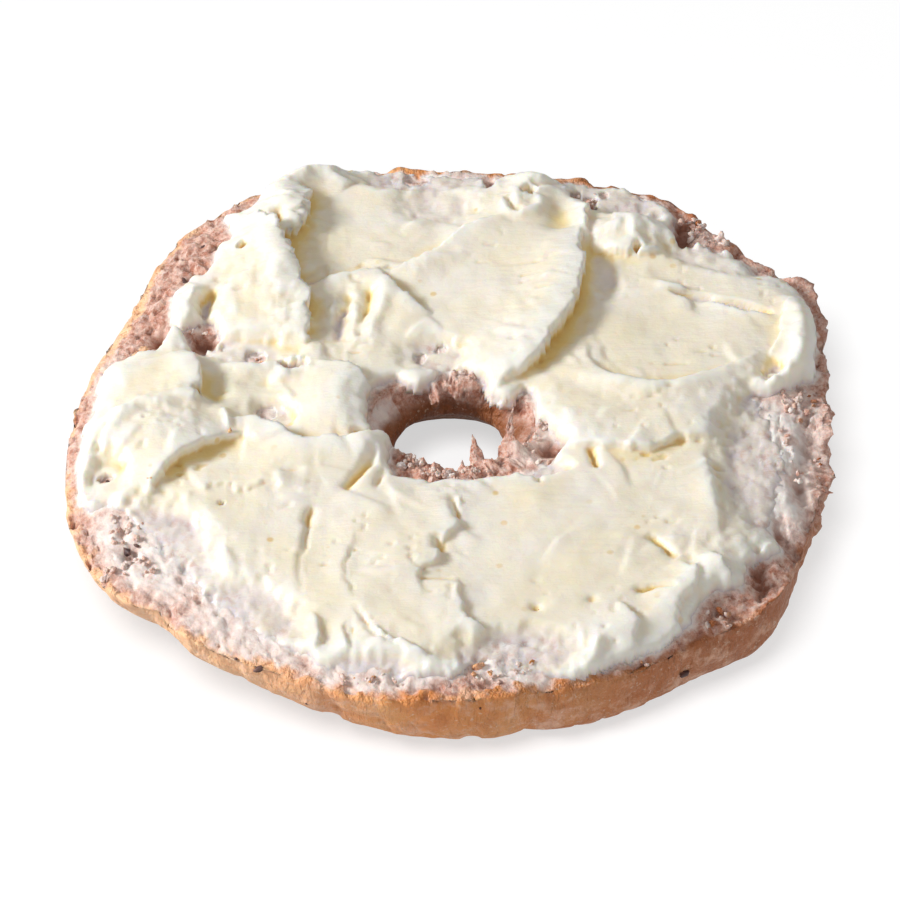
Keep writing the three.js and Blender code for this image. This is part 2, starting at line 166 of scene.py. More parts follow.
bread = {
    "rim": (53.4, 55.6, 57.1, 57.9, 59.1, 57.0, 55.9, 58.6, 59.9, 57.9, 53.8, 53.4,
            54.2, 55.5, 56.7, 54.6, 53.0, 52.3, 52.1, 52.0, 52.4, 52.2, 53.3, 53.4),
    "holeRim": (12.5, 10.5, 8, 10.5, 11.5, 8, 8.8, 9.8),
    "sideReach": 21, "sideDepth": 17,
    "squareness": (2.9, 2.7, 2.1, 2.2, 2.1, 1.7, 2.8, 3.4),
    "rimDrop": (2.4, 1.4, 0.8, 2.6, 2.8, 1.4, 1.2, 2.2), "rimDropWidth": 8,
    "creases": ((222, 4, 1.5), (262, 4, -0.5), (282, 4, 0.7), (27, 8, -3.5), (322, 9, -3.1)),
    "rimRises": ((323, 5, 1.8), (2, 9, 1.3), (28, 7, 0.8)), "rimWidth": 1.3,
    "waist": 8, "waistDepth": 5.5, "holeBase": 18, "flare": 1.15,
    "strands": (  # bearing, width, how far it reaches inwards, how far it rises
        (305, 3.5, 1.6, 0.6), (330, 4.5, 2.2, 2.0), (258, 9, 0.8, 0.3), (105, 5, 2.2, 0.2),
        (80, 12, 0.9, 0.4),
    ),
    "pits": (  # x, y, half sizes, depth
        (14, -7, 2.2, 1.4, 1.7), (-35.7, 15.2, 1.6, 2.2, 2.0), (-42, 16.2, 1.3, 1.8, 1.8),
        (-44, -27.5, 1.3, 1.3, 1.3), (-45, -23.5, 0.7, 1.6, 0.8), (34.6, 41, 1.6, 3.2, 1.6),
        (33.8, 38, 1.2, 2, 1.2), (19, 48, 0.8, 1.6, 0.9), (21, 45, 0.9, 1.8, 0.9),
        (49, -13, 1.3, 3.8, 1.4), (50.5, -4, 1.0, 3.6, 0.5), (46.5, 1.5, 1.6, 0.8, 0.6),
        (9, 8, 1.8, 1.3, 1.7), (5.8, 51, 0.9, 1.5, 1.2), (-5.2, 52, 1.2, 1.0, 0.8),
        (42.4, -31.5, 1.3, 3.2, 1.5), (-7, -50.3, 1.0, 1.3, 0.9), (5, -51.3, 1.0, 0.8, 0.8),
        (24.5, -47, 2, 1, 0.9), (37, -37.5, 1.5, 2, 0.7),
    ),
    "tornFrom": -24, "tornTo": 44, "tornReach": 1.5,  # stretch of rim with ragged crust standing out
    "fuzzyAt": 150, "fuzzyBand": math.degrees(0.5), "fuzzyWidth": 38,  # bearing where crumb shows past the rim
    "coatedAt": 172, "coatedWidth": 30, "coatedFrom": 7,  # part of the hole's wall with spread on it
    "smears": (  # x, y, half sizes, turn, strength: places with spread rubbed thinly into the crumb
        (-42, -28, 5, 12, 38, 0.85), (-28, -43.5, 4.4, 12, 52, 0.7), (-10, -50.6, 10, 2.4, 0, 0.75),
        (10, -47, 10, 5, 0, 0.95), (46.5, -9, 4.6, 16, 0, 0.95), (50.5, -2, 2.6, 10, 0, 0.5),
        (46, 1, 4, 4, 0, 0.6), (25, 48, 9, 3.2, -25, 0.7), (-30, 12, 9, 4, 0, 0.7),
        (-49, 8, 3, 8, 0, 0.4), (-22, 0, 8, 5, 0, 0.7), (0, 11, 8, 4, 0, 0.6), (11, -6, 4, 5, 0, 0.5),
        (37, 39, 4, 3, 0, 0.3), (-2, 53, 16, 2, 0, 0.6),
    ),
    "steps": 720,
    "rows": {"lip": 12, "covered": 30, "shown": 44, "side": 22, "base": 2, "wall": 20},
    "poreDepth": 0.8, "fineDepth": 0.6, "lipWidth": 5, "shownWidth": 12,
    # Layers of noise: amount, size, seed.
    "edgeLumps": ((1.0, 1.5, 31), (1.2, 5.5, 32), (0.9, 0.8, 33)),
    "wrinkles": ((0.4, (9, 9, 5), 41), (0.25, (2.6, 2.6, 5), 42), (0.14, 1.2, 43)),
}


def sumRound(angle, features, column=2):  # features round the ring: bearing, width and their amounts
    return sum(feature[column] * nearBearing(angle, *feature[:2]) for feature in features)


def creaseDepth(angle):  # a negative depth stands out from the side
    return sumRound(angle, bread["creases"])


def rimAt(angle):
    return around(bread["rim"], angle) - creaseDepth(angle)


def cutFace(angle, radius):  # height of the cut face, which slopes away close to the crust
    slope = np.clip((radius - rimAt(angle)) / bread["rimDropWidth"] + 1, 0, 1)
    return cutHeight - around(bread["rimDrop"], angle) * slope ** 2


def crumbRelief(points):  # torn open crumb: ragged pits of several sizes, threads and little clumps
    bent = points + np.stack([lumps(points, 1.3, seed) for seed in (7, 8, 9)], 1) * 0.9
    clumps = 0.3 * lumps(points, 3.4, 4) + 0.25 * lumps(bent, 1.4, 5)
    threads = 0.35 - np.abs(lumps(bent, (0.8, 1.9, 1.1), 6)) - 0.4 * np.abs(lumps(bent, 0.75, 10))
    wide = smooth(lumps(bent, (2.0, 3.2, 2.2), 11), 0.3, 0.8)
    small = smooth(lumps(bent, (0.9, 1.4, 0.9), 12), 0.1, 0.7)
    return clumps + 0.7 * threads - bread["poreDepth"] * wide - bread["fineDepth"] * small


def facePits(x, y):
    return sum(depth * bell(np.hypot((x - pitX) / sizeX, (y - pitY) / sizeY), 1)
               for pitX, pitY, sizeX, sizeY, depth in bread["pits"])


def smearedCrumb(x, y):
    smeared = np.zeros(len(x))
    for *patch, strength in bread["smears"]:
        smeared = np.maximum(smeared, strength * (1 - smooth(np.hypot(*inPatch(x, y, *patch)), 0.6, 1.15)))
    return smeared


def sideSection(angle, share):  # from the rim down to the resting plane: radius and height
    power = 2 / around(bread["squareness"], angle)

    def turnAt(depth):
        return np.arcsin(np.clip(depth / bread["sideDepth"], 0, 1) ** (1 / power))
    start, stop = turnAt(around(bread["rimDrop"], angle)), turnAt(cutHeight)
    turn = start + (stop - start) * np.clip(share, 0, 1)
    inset = bread["sideReach"] * (1 - np.cos(turn) ** power)
    depth = bread["sideDepth"] * np.sin(turn) ** power
    radius = around(bread["rim"], angle) - inset - creaseDepth(angle) * (1 - share ** 2)
    return radius, cutHeight - depth


def wallSection(angle, share):  # from the resting plane up to the hole's rim
    depth = cutHeight * (1 - share)
    rim = around(bread["holeRim"], angle)
    narrow = np.minimum(rim, bread["waist"])
    above = rim + (narrow - rim) * smooth(depth, 0, bread["waistDepth"])
    flare = np.clip((depth - bread["waistDepth"]) / (cutHeight - bread["waistDepth"]), 0, 1) ** bread["flare"]
    radius = above + (bread["holeBase"] - narrow) * flare
    radius = radius - sumRound(angle, bread["strands"]) * bell(depth - 1.5, 2)
    return radius, cutHeight - depth + sumRound(angle, bread["strands"], 3) * bell(depth, 2)


def finishPiece(name, bm, mesh, scale=mm):  # shaded smooth, and from millimetres to metres
    for face in bm.faces:
        face.smooth = True
    bmesh.ops.scale(bm, vec=(scale, scale, scale), verts=bm.verts)
    bm.to_mesh(mesh)
    bm.free()
    piece = bpy.data.objects.new(name, mesh)
    bpy.context.scene.collection.objects.link(piece)
    return piece


def makeBread():
    rows = bread["rows"]
    names = list(rows)
    count = sum(rows.values())
    bm = bmesh.new()
    bmesh.ops.create_circle(bm, segments=count, radius=1)
    bmesh.ops.rotate(bm, verts=bm.verts, matrix=Matrix.Rotation(math.pi / 2, 3, "X"))
    bmesh.ops.translate(bm, verts=bm.verts, vec=(3, 0, 0))
    bmesh.ops.spin(bm, geom=bm.verts[:] + bm.edges[:], axis=(0, 0, 1), cent=(0, 0, 0), dvec=(0, 0, 0),
                   angle=2 * math.pi, steps=bread["steps"], use_merge=True)
    mesh = bpy.data.meshes.new("bread")
    bm.to_mesh(mesh)
    bm.free()
    # The plain ring's own angles say which bearing and which row of the section each vertex is.
    plain = np.empty(len(mesh.vertices) * 3)
    mesh.vertices.foreach_get("co", plain)
    plain = plain.reshape(-1, 3)
    angle = np.arctan2(plain[:, 1], plain[:, 0])
    tubeAngle = np.arctan2(plain[:, 2], np.hypot(plain[:, 0], plain[:, 1]) - 3)
    row = np.rint((math.pi - tubeAngle) % (2 * math.pi) / (2 * math.pi) * count).astype(int) % count
    starts = dict(zip(names, np.concatenate([[0], np.cumsum([rows[n] for n in names])])))

    def share(name):
        return (row - starts[name]) / rows[name]

    def within(first, last):
        return (row >= starts[first]) & (row < starts[last])
    rim, hole = rimAt(angle), around(bread["holeRim"], angle)
    lipRim, outerMargin = hole + bread["lipWidth"], rim - bread["shownWidth"]
    radius, height = wallSection(angle, share("wall"))
    bounds = (hole, lipRim, outerMargin, rim)
    for name, low, high in zip(("lip", "covered", "shown"), bounds, bounds[1:]):
        here = (row >= starts[name]) & (row < starts[name] + rows[name])
        across = low + (high - low) * share(name)
        radius = np.where(here, across, radius)
        height = np.where(here, cutFace(angle, across), height)
    sideRadius, sideHeight = sideSection(angle, share("side"))
    onSide, onBase, onWall = within("side", "base"), within("base", "wall"), row >= starts["wall"]
    radius, height = np.where(onSide, sideRadius, radius), np.where(onSide, sideHeight, height)
    baseRadius = sideSection(angle, np.ones(len(angle)))[0]
    flat = baseRadius + (bread["holeBase"] - baseRadius) * share("base")
    radius, height = np.where(onBase, flat, radius), np.where(onBase, 0, height)
    onTop = row <= starts["side"]
    lifted = sumRound(angle, bread["strands"], 3)
    raised = sumRound(angle, bread["rimRises"])
    raised = raised + 0.55 * lumps(np.stack([angle * 53, 0 * angle, 0 * angle], 1), (2.1, 1, 1), 45)
    nearRim = bell(radius - rim, bread["rimWidth"])
    height = height + np.where(onTop & (radius < lipRim), lifted * bell(radius - hole, 1.2), 0)
    height = height + raised * nearRim * np.where(onTop | onSide, 1, 0) * smooth(height, 9, 13)

    x, y = ringPoint(angle, radius)
    points = np.stack([x, y, height], 1)
    spread = np.full(len(x), -9.0)
    spread[onTop] = butterHeight(x[onTop], y[onTop])[0]
    # How much of each vertex is crust: all of the side and base, and a ragged band of the face's rim.
    edge = layered(points, bread["edgeLumps"])
    turn = (np.degrees(angle) + 180) % 360 - 180
    ragged = smooth(turn, bread["tornFrom"], bread["tornFrom"] + 8)
    ragged = ragged * smooth(turn, bread["tornTo"], bread["tornTo"] - 8)
    band = 0.8 + 0.8 * nearBearing(angle, bread["fuzzyAt"], bread["fuzzyBand"]) - 1.6 * ragged
    crust = np.where(onSide | onBase, 1.0, 0.0)
    crust = np.where(onTop, smooth(radius - rim + edge, -band - 0.5, -band + 0.7), crust)
    tornSide = ragged * smooth(height + 1.6 * edge, 10.5, 13.5)
    fuzzy = nearBearing(angle, bread["fuzzyAt"], bread["fuzzyWidth"])
    fuzzy = fuzzy * smooth(height + 1.3 * edge, 12.6, 14.6)
    crust = np.where(onSide, 1 - np.maximum(tornSide, 0.8 * fuzzy), crust)
    crust = np.where(onWall, smooth(height + 1.2 * lumps(points, 2, 34), 14.5, 12.5), crust)
    # Relief: the crumb is torn and open, the crust wrinkled and gently lumpy.
    pitDepth = facePits(x, y) * np.where(onTop, 1, 0)
    greased = np.maximum(smooth(spread, -1.3, 0.1), smearedCrumb(x, y) * onTop)
    torn = crumbRelief(points) * (1 - crust) * (1 - 0.55 * greased) - pitDepth
    wrinkles = layered(points, bread["wrinkles"]) - 0.55 * smooth(lumps(points, (3.2, 3.2, 7), 44), 0.3, 0.7)
    wrinkles -= 0.35 * bell(lumps(points + 1.5 * lumps(points, 5, 47)[:, None], (6, 6, 14), 46), 0.09)
    relief = torn + crust * wrinkles * smooth(height, 0, 3) * np.where(onWall, 0.4, 1)
    wallPart = onWall | (row == 0)
    inward = np.where(wallPart, smooth(cutHeight - height, -1, 2), 0)
    outward = np.where(onSide, smooth(height, 0, 4), 0)
    shards = np.clip(lumps(points, 2.4, 71), 0, 1) + 0.5 * np.clip(lumps(points, 1.0, 72), 0, 1)
    radius = radius + bread["tornReach"] * ragged * shards * bell(radius - rim, 1.5) * smooth(height, 7, 11)
    radius = radius + relief * (outward - inward)
    upward = np.clip(np.where(onTop, 1.0, 0) + np.where(wallPart, 1 - inward, 0), 0, 1)
    height = height + relief * np.where(row == starts["side"], 0.5, upward)
    height = np.where(onBase | (row == starts["wall"]), 0, height)
    x, y = ringPoint(angle, radius)
    mesh.vertices.foreach_set("co", (np.stack([x, y, np.maximum(height, 0)], 1) * mm).ravel())
    coated = onWall & (np.abs(np.degrees(angle) % 360 - bread["coatedAt"]) < bread["coatedWidth"])
    coated = coated & (height > bread["coatedFrom"])
    # The wall value marks the hole's wall, which the material darkens as painted shade.
    painted = {"crust": crust, "wall": np.where(onWall, 1.0, 0.0),
               # depth of the torn crumb below the face, kept to paint shade darker in its pits
               "paintedShadeDepth": np.clip(-torn, 0, 2.5) * (1 - crust),
               "smear": np.maximum(greased, np.where(coated, 0.8, 0))}
    for name, value in painted.items():
        mesh.attributes.new(name, "FLOAT", "POINT").data.foreach_set("value", value)
    bm = bmesh.new()
    bm.from_mesh(mesh)
    bmesh.ops.recalc_face_normals(bm, faces=bm.faces)
    return finishPiece("breadHalf", bm, mesh, scale=1)


butterRim = ((44, 3.5), (48, 4.8), (52, 8), (53.4, 13), (53.2, 18), (51.6, 24), (50, 28), (46.5, 29.7),
             (45, 32), (42, 34.5), (38, 36), (34.5, 35.6), (33, 37.5), (32.8, 41), (33, 43.5), (31, 46.3),
             (27, 49.4), (22, 50), (17, 51), (14.5, 52), (10.5, 52.3), (8.5, 51.5), (6.5, 51.5),
             (2, 52.6), (-4, 53.6),
             (-11, 54.2), (-15.5, 53.4), (-19, 53), (-24, 50.4), (-28, 47), (-29.6, 43.2), (-33.3, 42.6),
             (-32.3, 38), (-32.6, 36.3), (-34.3, 34), (-34.6, 31.5), (-37.5, 28), (-40, 25.2), (-40.8, 21),
             (-39.6, 17.7), (-37.2, 18.2), (-34.2, 18.5), (-33, 15), (-34.2, 12.5), (-37.5, 13),
             (-38.3, 15.5), (-40, 17.2), (-41.5, 15), (-42.8, 12.7), (-46, 11.3), (-49.9, 9.3), (-50.6, 2),
             (-51.9, -6), (-52.2, -13), (-51.2, -17.5), (-46, -19.5), (-41.5, -24), (-38.5, -29),
             (-34.5, -33.5), (-30, -39), (-24.5, -43), (-20.5, -46), (-17.5, -48.6), (-13, -49.4),
             (-8, -49.8), (-3, -50.4), (1, -49.8), (4.5, -49.2), (7.5, -50), (10.5, -50.4),
             (13, -49.6), (15, -50.2), (16.4, -51.8),
             (18.2, -50.6), (20.8, -48.8), (25.5, -46.2), (28.5, -44.8), (32.5, -40.6), (34, -36.3),
             (36.5, -34.6), (39.5, -34), (40.8, -30), (43.8, -27.4), (45.6, -25.5), (44.4, -23), (45, -18),
             (46, -13), (46.4, -8), (45.6, -3), (44.2, 0.5))
butterHoleRim = ((11.4, 3.2), (10.3, 4.6), (8.6, 2.9), (6.6, 3.2), (5, 4.6), (4.2, 7.2), (0.5, 8.6),
                 (-2.6, 7.4), (-4.4, 4.9), (-6.2, 6.2), (-8, 7.6), (-11.6, 4.5), (-12.2, 0), (-11, -3.8),
                 (-8.6, -7), (-8.4, -11), (-7, -13.4), (-2, -14.2), (3, -13.8), (8.5, -13), (11.8, -11.8),
                 (14.2, -10.2), (14.6, -8.6), (16.8, -6.2), (14, -3.6), (12.4, 0))

# Paths are in plan. A crest is high on the left of its path and steep on the right; over is how far
# its lip leans past its foot. Turns are in degrees.
butter = {
    "half": 57.0, "cell": 0.34,  # half size of the grid that the spread is cut from, and its cells
    "coat": 1.8, "floor": -1.3, "marginRound": 1.0, "overRim": -0.5, "skirt": 0.5, "sunk": 1.2,
    "keptFrom": -0.7,  # cells thinner than this are cut away
    "underBlocks": (16, 8),  # cells merged underneath, where nothing shows
    "rises": (  # x, y, half sizes, turn, rise
        (-30, 27, 6, 13, -6, 1.3),  # slab at the upper left
        (-25.5, 42, 5, 4.5, 0, 1.0),  # its flap
        (-38.2, 20.5, 2.6, 4.8, -12, 1.2),
        (-35.3, 21.5, 1.3, 3.6, -12, -1.4),
        (-12, 38, 10, 9, 0, -0.6),  # scraped basin beside it
        (-15, 17, 4.5, 8, 10, -0.6),
        (-5, 12, 5, 4, 0, -0.6),
        (8, 39, 7, 5, 0, 0.5),
        (11, 44.5, 3, 3, 0, 1.0),
        (12.8, 49, 3.4, 1.9, -8, 1.6),
        (16.5, 41, 2.4, 4, 0, -0.9),
        (27, 37.8, 6.2, 3.4, -8, 2.0),
        (31, 17, 11, 9, -20, -0.6),  # basin at the right
        (46.4, 8.4, 1.6, 2.8, -30, -2.0),
        (27, -1, 16, 4.5, 0, 0.8),
        (20, -24, 14, 12, 0, 0.25),
        (35.5, -32, 2.6, 4.5, -35, 1.3),
        (28, -40, 7, 4, 30, 0.1),
        (18, -48, 4, 2.5, 15, -0.5),
        (13, -42.5, 5, 3, 0, -0.4),
        (11.6, -39.2, 0.7, 0.6, 0, -0.8),
        (19.2, -37.8, 0.6, 0.6, 0, -0.5),
        (-8, -32, 7, 12, 0, 0.6),
        (-16.5, -43.5, 2.8, 2.0, 0, -0.9),
        (-24, -44, 6, 4, -25, -0.3),
        (-42, -5.5, 8, 4.2, 25, 2.1),  # swirl at the left
        (-44, 5, 6, 5, 0, 0.7),
        (-33.4, 3, 2, 6, 0, -0.9),
        (-26, 5.5, 4.2, 2.6, 0, -1.0),
        (-24, 6.5, 1.4, 1.0, 20, 0.9),
        (-16.5, 0, 5, 6, 0, 1.6),  # lobe beside the hole
        (-11, -8, 3.2, 3.2, 40, 1.0),
    ),
    "rough": (  # x, y, half sizes, height of the roughness, its size
        (27, 38, 7, 4, 0.5, 1.7), (-23, 20, 3, 6, 0.35, 1.0), (-38, 20, 3, 5, 0.35, 1.1),
        (-42, -3, 9, 4, 0.25, 1.4), (-12, -47, 10, 4, 0.2, 1.5), (35, -30, 4, 5, 0.35, 1.6),
        (10, 44, 5, 4, 0.35, 1.2), (-24, 7, 4, 3, 0.4, 1.4), (45, 6, 5, 4, 0.35, 1.5),
        (-15, 18, 6, 8, 0.2, 1.1), (18, -46, 7, 4, 0.12, 1.3), (46.3, 7.5, 3, 4, 0.7, 1.1),
        (24, 2, 14, 4, 0.12, 1.6), (-2, -46, 8, 5, 0.15, 1.8), (22, -22, 15, 13, 0.07, (6, 0.7, 1)),
        (-30, 28, 5, 12, 0.08, (0.9, 4, 1)), (-28, -28, 9, 12, 0.06, (1.2, 7, 1)),
        (30, 16, 12, 9, 0.05, (5, 0.9, 1)),
    ),
    "crests": (  # path, lift, reach on the high side, scoop, over, ragged
        (((-20.6, 13), (-20.8, 17.3), (-22.2, 22), (-23.3, 25), (-24.3, 29), (-25, 33), (-26.4, 37),
          (-28.5, 41)), 2.6, 5, 1.0, 1.4, 0.9),
        (((-26.2, 34.6), (-24.2, 36.2), (-22.6, 38.4), (-22.2, 41), (-21.4, 43.6), (-22, 47)),
         2.3, 5, 0.7, 1.3, 1.9),
        (((6.5, 4.2), (9, 6.8), (11.5, 9.6), (14, 13.4), (15.8, 17), (17.2, 21), (18.4, 25), (19, 29.5),
          (18.7, 34), (19, 38)), 2.7, 7, 1.0, 0.9, 0.6),
        (((8, 41), (3, 38.5), (0, 35.5), (-3, 32.5), (-6, 30.5), (-10, 28.5)), 0.7, 3, 0.5, 0.2, 0.6),
        (((-10, 29.8), (-13, 28.8), (-16, 27.3), (-22, 26)), 0.8, 3, 0.5, 0.3, 0.5),
        (((-3, 19), (-4.2, 20.5), (-7.5, 23.5), (-9, 26), (-11, 29)), 1.1, 3, 0.5, 0.5, 0.5),
        (((20.5, 34.6), (24, 33.4), (29, 32.8), (32, 34.2)), 0.9, 3, 0.5, 0.3, 0.8),
        (((44, 10.5), (38, 7.2), (33, 4.6), (28, 4), (22.5, 6.3), (20, 10), (19.5, 14)), 0.8, 3, 0.2, 0, 0.3),
        (((35.5, 19.5), (35, 22), (33, 25.5), (28, 27.5)), 0.4, 3, 0.3, 0, 0.4),
        (((49.4, 22.5), (48.4, 18), (47.2, 13.5), (46.4, 9.5)), 0.6, 2.6, 0.2, 0.5, 0.9),
        (((13.5, -6.5), (18, -7.7), (23, -8.4), (28, -8.4), (32, -6.5), (40, -6.5)), 1.2, 5, 0.2, 0.3, 0.5),
        (((37, -27), (36.8, -16), (35.5, -9)), 0.6, 6, 0.2, 0, 0.2),
        (((-4.2, -38), (-4.5, -33.5), (-2, -30.5), (-1.4, -27), (1, -23.5), (0.8, -19.5), (0, -16)),
         0.55, 3.5, 0.4, 0.3, 0.5),
        (((8.4, -50), (7, -47.5), (5, -44.5), (2, -42), (1.5, -39), (1, -34)), 0.7, 4, 0.3, 0.3, 0.5),
        (((-42.3, -17.5), (-41, -15.2), (-39.5, -12), (-37, -9.5), (-33, -7), (-29, -6.3)),
         1.7, 4, 0.6, 0.7, 0.35),
        (((-7.5, -7), (-10, -6), (-14, -8.2), (-21, -8), (-24, -6), (-28, -3), (-31.5, -4)),
         1.6, 4.5, 0.7, 0.6, 0.35),
        (((-36.3, -0.5), (-35.9, 4), (-36.4, 8), (-38, 12)), 1.6, 5, 0.6, 0.7, 0.4),
        (((-11.5, -5), (-11.2, -1), (-11.8, 3), (-14.5, 7.5), (-19, 9)), 1.1, 4, 0.5, 0.8, 0.3),
        (((-20, -37), (-20.4, -27), (-19.6, -18)), 0.2, 2.4, 0.2, 0.1, 0.25),
        (((-13.2, -39), (-14.1, -33), (-13.4, -25)), 0.25, 2.2, 0.2, 0.2, 0.25),
        (((-37, -18.5), (-33, -16.2), (-28, -16.2), (-24, -15.6), (-18.5, -17.5)), 0.35, 3, 0.2, 0.2, 0.9),
        (((20, 36), (20.1, 40), (19.6, 46)), 1.0, 1.6, 0.6, 0.4, 0.5),
        (((-19.5, -50), (-18.3, -46.5), (-17.8, -43), (-19, -40)), 0.6, 2, 0.4, 0.3, 0.6),
        (((-13.5, -48), (-14.4, -44.5), (-14.5, -41.5)), 0.5, 2, 0.4, 0.3, 0.5),
        (((-3, -50), (-4.5, -47), (-8.5, -45.5), (-11, -42)), 0.6, 2.5, 0.4, 0.3, 0.5),
        (((30, -44.5), (31.5, -38.5), (33, -34), (31, -31)), 0.8, 3, 0.5, 0.4, 0.8),
        (((38.5, -37), (37.2, -33), (36, -29.5)), 1.1, 2.5, 0.6, 0.6, 0.8),
        (((24, -47), (25, -42), (22, -38.5)), 0.5, 3, 0.4, 0.3, 0.6),
    ),
    "ridges": (  # path, lift, half width
        (((-28.5, 45), (-24, 48.3), (-21, 50), (-18.5, 50.6), (-16, 49.8), (-14.5, 48.5)), 3.2, 2.2),
        (((50.4, 24), (51.2, 18), (51, 12.5), (49.6, 7.6), (46.6, 4.2), (43, 3)), 2.8, 2.1),
        (((30, 26), (36, 23.5), (42, 20.8), (47, 17.8)), 0.7, 1.1),
        (((14, 9), (22, 5), (30, 3), (38, 5.5), (42, 8)), 0.6, 1.5),
        (((-51, -17), (-50.8, -12), (-49.5, -7), (-46.5, -3), (-42, -0.6), (-35, 0.5), (-31, -1.5)),
         1.6, 1.8),
        (((-27.5, 40), (-27, 34), (-25.6, 28), (-23.4, 21)), 0.5, 1.4),
        (((-9.6, 27), (-9.9, 21.5), (-11.5, 16), (-11, 12)), 0.8, 1.3),
        (((-13.6, 26.5), (-13.6, 21), (-14, 16), (-12.2, 12)), 0.6, 0.8),
        (((-16.8, 24), (-17, 20), (-16.4, 15)), 0.5, 0.6),
        (((8, 46), (8.2, 43), (10, 41), (13, 42), (14, 45)), 1.1, 0.9),
        (((-32, -1), (-31.4, -3.4), (-31, -5.8)), 0.9, 0.5),
        (((36, -11), (36.3, -20), (35.5, -26)), 0.4, 2.0),
        (((12, -45), (14, -49), (15.3, -51)), 0.5, 0.6),
        (((20.5, -44.5), (19, -48), (18, -51)), 0.9, 0.8),
        (((3, -47), (7, -45.6), (11, -46.4)), 0.4, 0.5),
        (((-46, -33.2), (-42, -35.2), (-38, -37)), 0.5, 0.6),
        (((-34.5, -42), (-31, -45), (-27, -46)), 0.5, 0.6),
    ),
    "grooves": (  # path, depth, half width
        (((-15.2, 21.5), (-16.2, 18), (-15.5, 14.5)), 1.1, 0.9),
        (((-14.8, 24), (-15.3, 20)), 0.5, 0.7),
        (((-11.6, 25.5), (-12.1, 21), (-12.9, 17.5)), 0.6, 0.5),
        (((-20.2, -37), (-20.5, -31), (-19.7, -25), (-19.3, -20)), 0.4, 0.45),
        (((-19.6, -24), (-19, -20)), 0.6, 0.9),
        (((-13.2, -37), (-14.3, -33), (-13.6, -28)), 0.4, 0.4),
        (((-13, -39), (-10.5, -44), (-6, -48)), 0.7, 0.4),
        (((-10.3, -9), (-12, -12.5), (-14.9, -16.6)), 1.3, 0.65),
        (((-9.3, -12.5), (-10.6, -16.5)), 0.6, 0.5),
        (((-35.2, 18), (-35.7, 21.5), (-34.4, 25)), 1.6, 0.9),
        (((12, 47.4), (14.5, 48), (17, 48.6)), 1.3, 0.6),
        (((8.3, 45), (9, 42.3), (10.7, 41.2)), 1.2, 0.7),
        (((-26.5, 37.5), (-25.3, 38.8), (-25.6, 40.5)), 1.4, 0.5),
        (((19.2, -8), (20.6, -12.5)), 1.3, 0.5),
        (((27, -26), (29, -28), (31, -30.5)), 1.1, 0.7),
        (((25, -36.5), (27, -36.3), (30.5, -35.6)), 1.2, 0.45),
        (((-46.8, -3), (-49, -6.5), (-50, -11)), 1.5, 0.7),
        (((11.8, -12.6), (12.5, -15.5)), 0.9, 0.4),
        (((-1.6, -26), (-1.9, -29)), 1.2, 0.7),
        (((0.4, -18), (0.4, -23)), 1.0, 0.6),
        (((-22, 26.6), (-17.8, 27.4)), 0.8, 0.4),
        (((-31, 29), (-33.5, 25), (-34, 20)), 0.5, 1.0),
    ),
    "films": (  # x, y, half sizes, turn, thickness: places where the knife left only a film
        (-4, 50.8, 12, 3.4, 0, 0.25), (-2, 44.5, 6.5, 4.5, 0, 0.55), (24.5, 46, 9, 4.2, -24, 0.25),
        (-2.5, 11.5, 5.5, 3.4, 0, 0.3), (-29, 12.5, 7.5, 3, 0, 0.5), (-25, -0.6, 3.6, 2.6, -35, 0.1),
        (43.2, -11, 6.2, 14.5, 0, 0.22), (42.2, 21.3, 4.4, 0.9, -20, 0.15), (36, 23.5, 4, 0.8, -14, 0.5),
        (-38, -25.5, 5, 10, 30, 0.25), (-27, -39, 5, 9, 50, 0.25), (-12, -49.6, 9, 2, 0, 0.2),
        (9, -46.8, 9.5, 4.4, 4, 0.16), (12.5, -11.5, 4, 2.2, 0, 0.25), (-48, -14.5, 3, 5, 0, 0.8),
        (38, 32.5, 9, 3, -18, 0.7), (22.5, 29, 2.2, 6, 8, 0.5), (44, 1, 3.4, 2.4, 0, 0.3),
    ),
    "bare": (  # x, y, half sizes: spots where the knife left none
        (-27.7, 11.7, 1.0, 1.1), (-21.6, 8.8, 1.8, 0.8), (18.8, 47.3, 0.9, 1.5), (21, 45, 1.0, 2.2),
        (27.5, 33.6, 0.6, 0.7), (23, 47.6, 0.5, 1.0), (-30.4, 33, 0.7, 0.8), (-47.8, -13.6, 0.9, 0.6),
        (3.5, -50, 1.7, 1.5), (-44, -28, 2, 2.2), (-12.6, -5.2, 0.9, 0.55), (11.6, 46.2, 0.9, 0.7),
        (5.8, 50.5, 0.9, 1.6), (-5.2, 51.8, 1.2, 1.0), (-26.4, -0.2, 1.2, 1.8), (-4.4, 11.2, 0.6, 1.0),
        (-1.4, 13.2, 0.6, 0.7), (-31.6, -19.4, 0.2, 0.2), (-36.3, 2.2, 0.4, 0.8), (-45, -23, 0.8, 2),
    ),
    "drag": 0.08, "chip": 0.3, "marks": 110, "markSeed": 11, "markLift": (0.06, 0.32), "markLength": (3, 10),
    # Layers of noise: amount, size, seed.
    "swells": ((0.18, 6, 51), (0.12, 2.4, 52)), "teeth": ((0.5, 1.2, 61), (0.8, 2.8, 62)),
    "grain": ((1, 1.2, 64), (0.6, 0.7, 65)), "patches": ((1, 3.2, 66), (1, 1.7, 67)),
}


def strokeTaper(share, power=0.6):
    return np.sin(math.pi * np.clip(share, 0, 1)) ** power


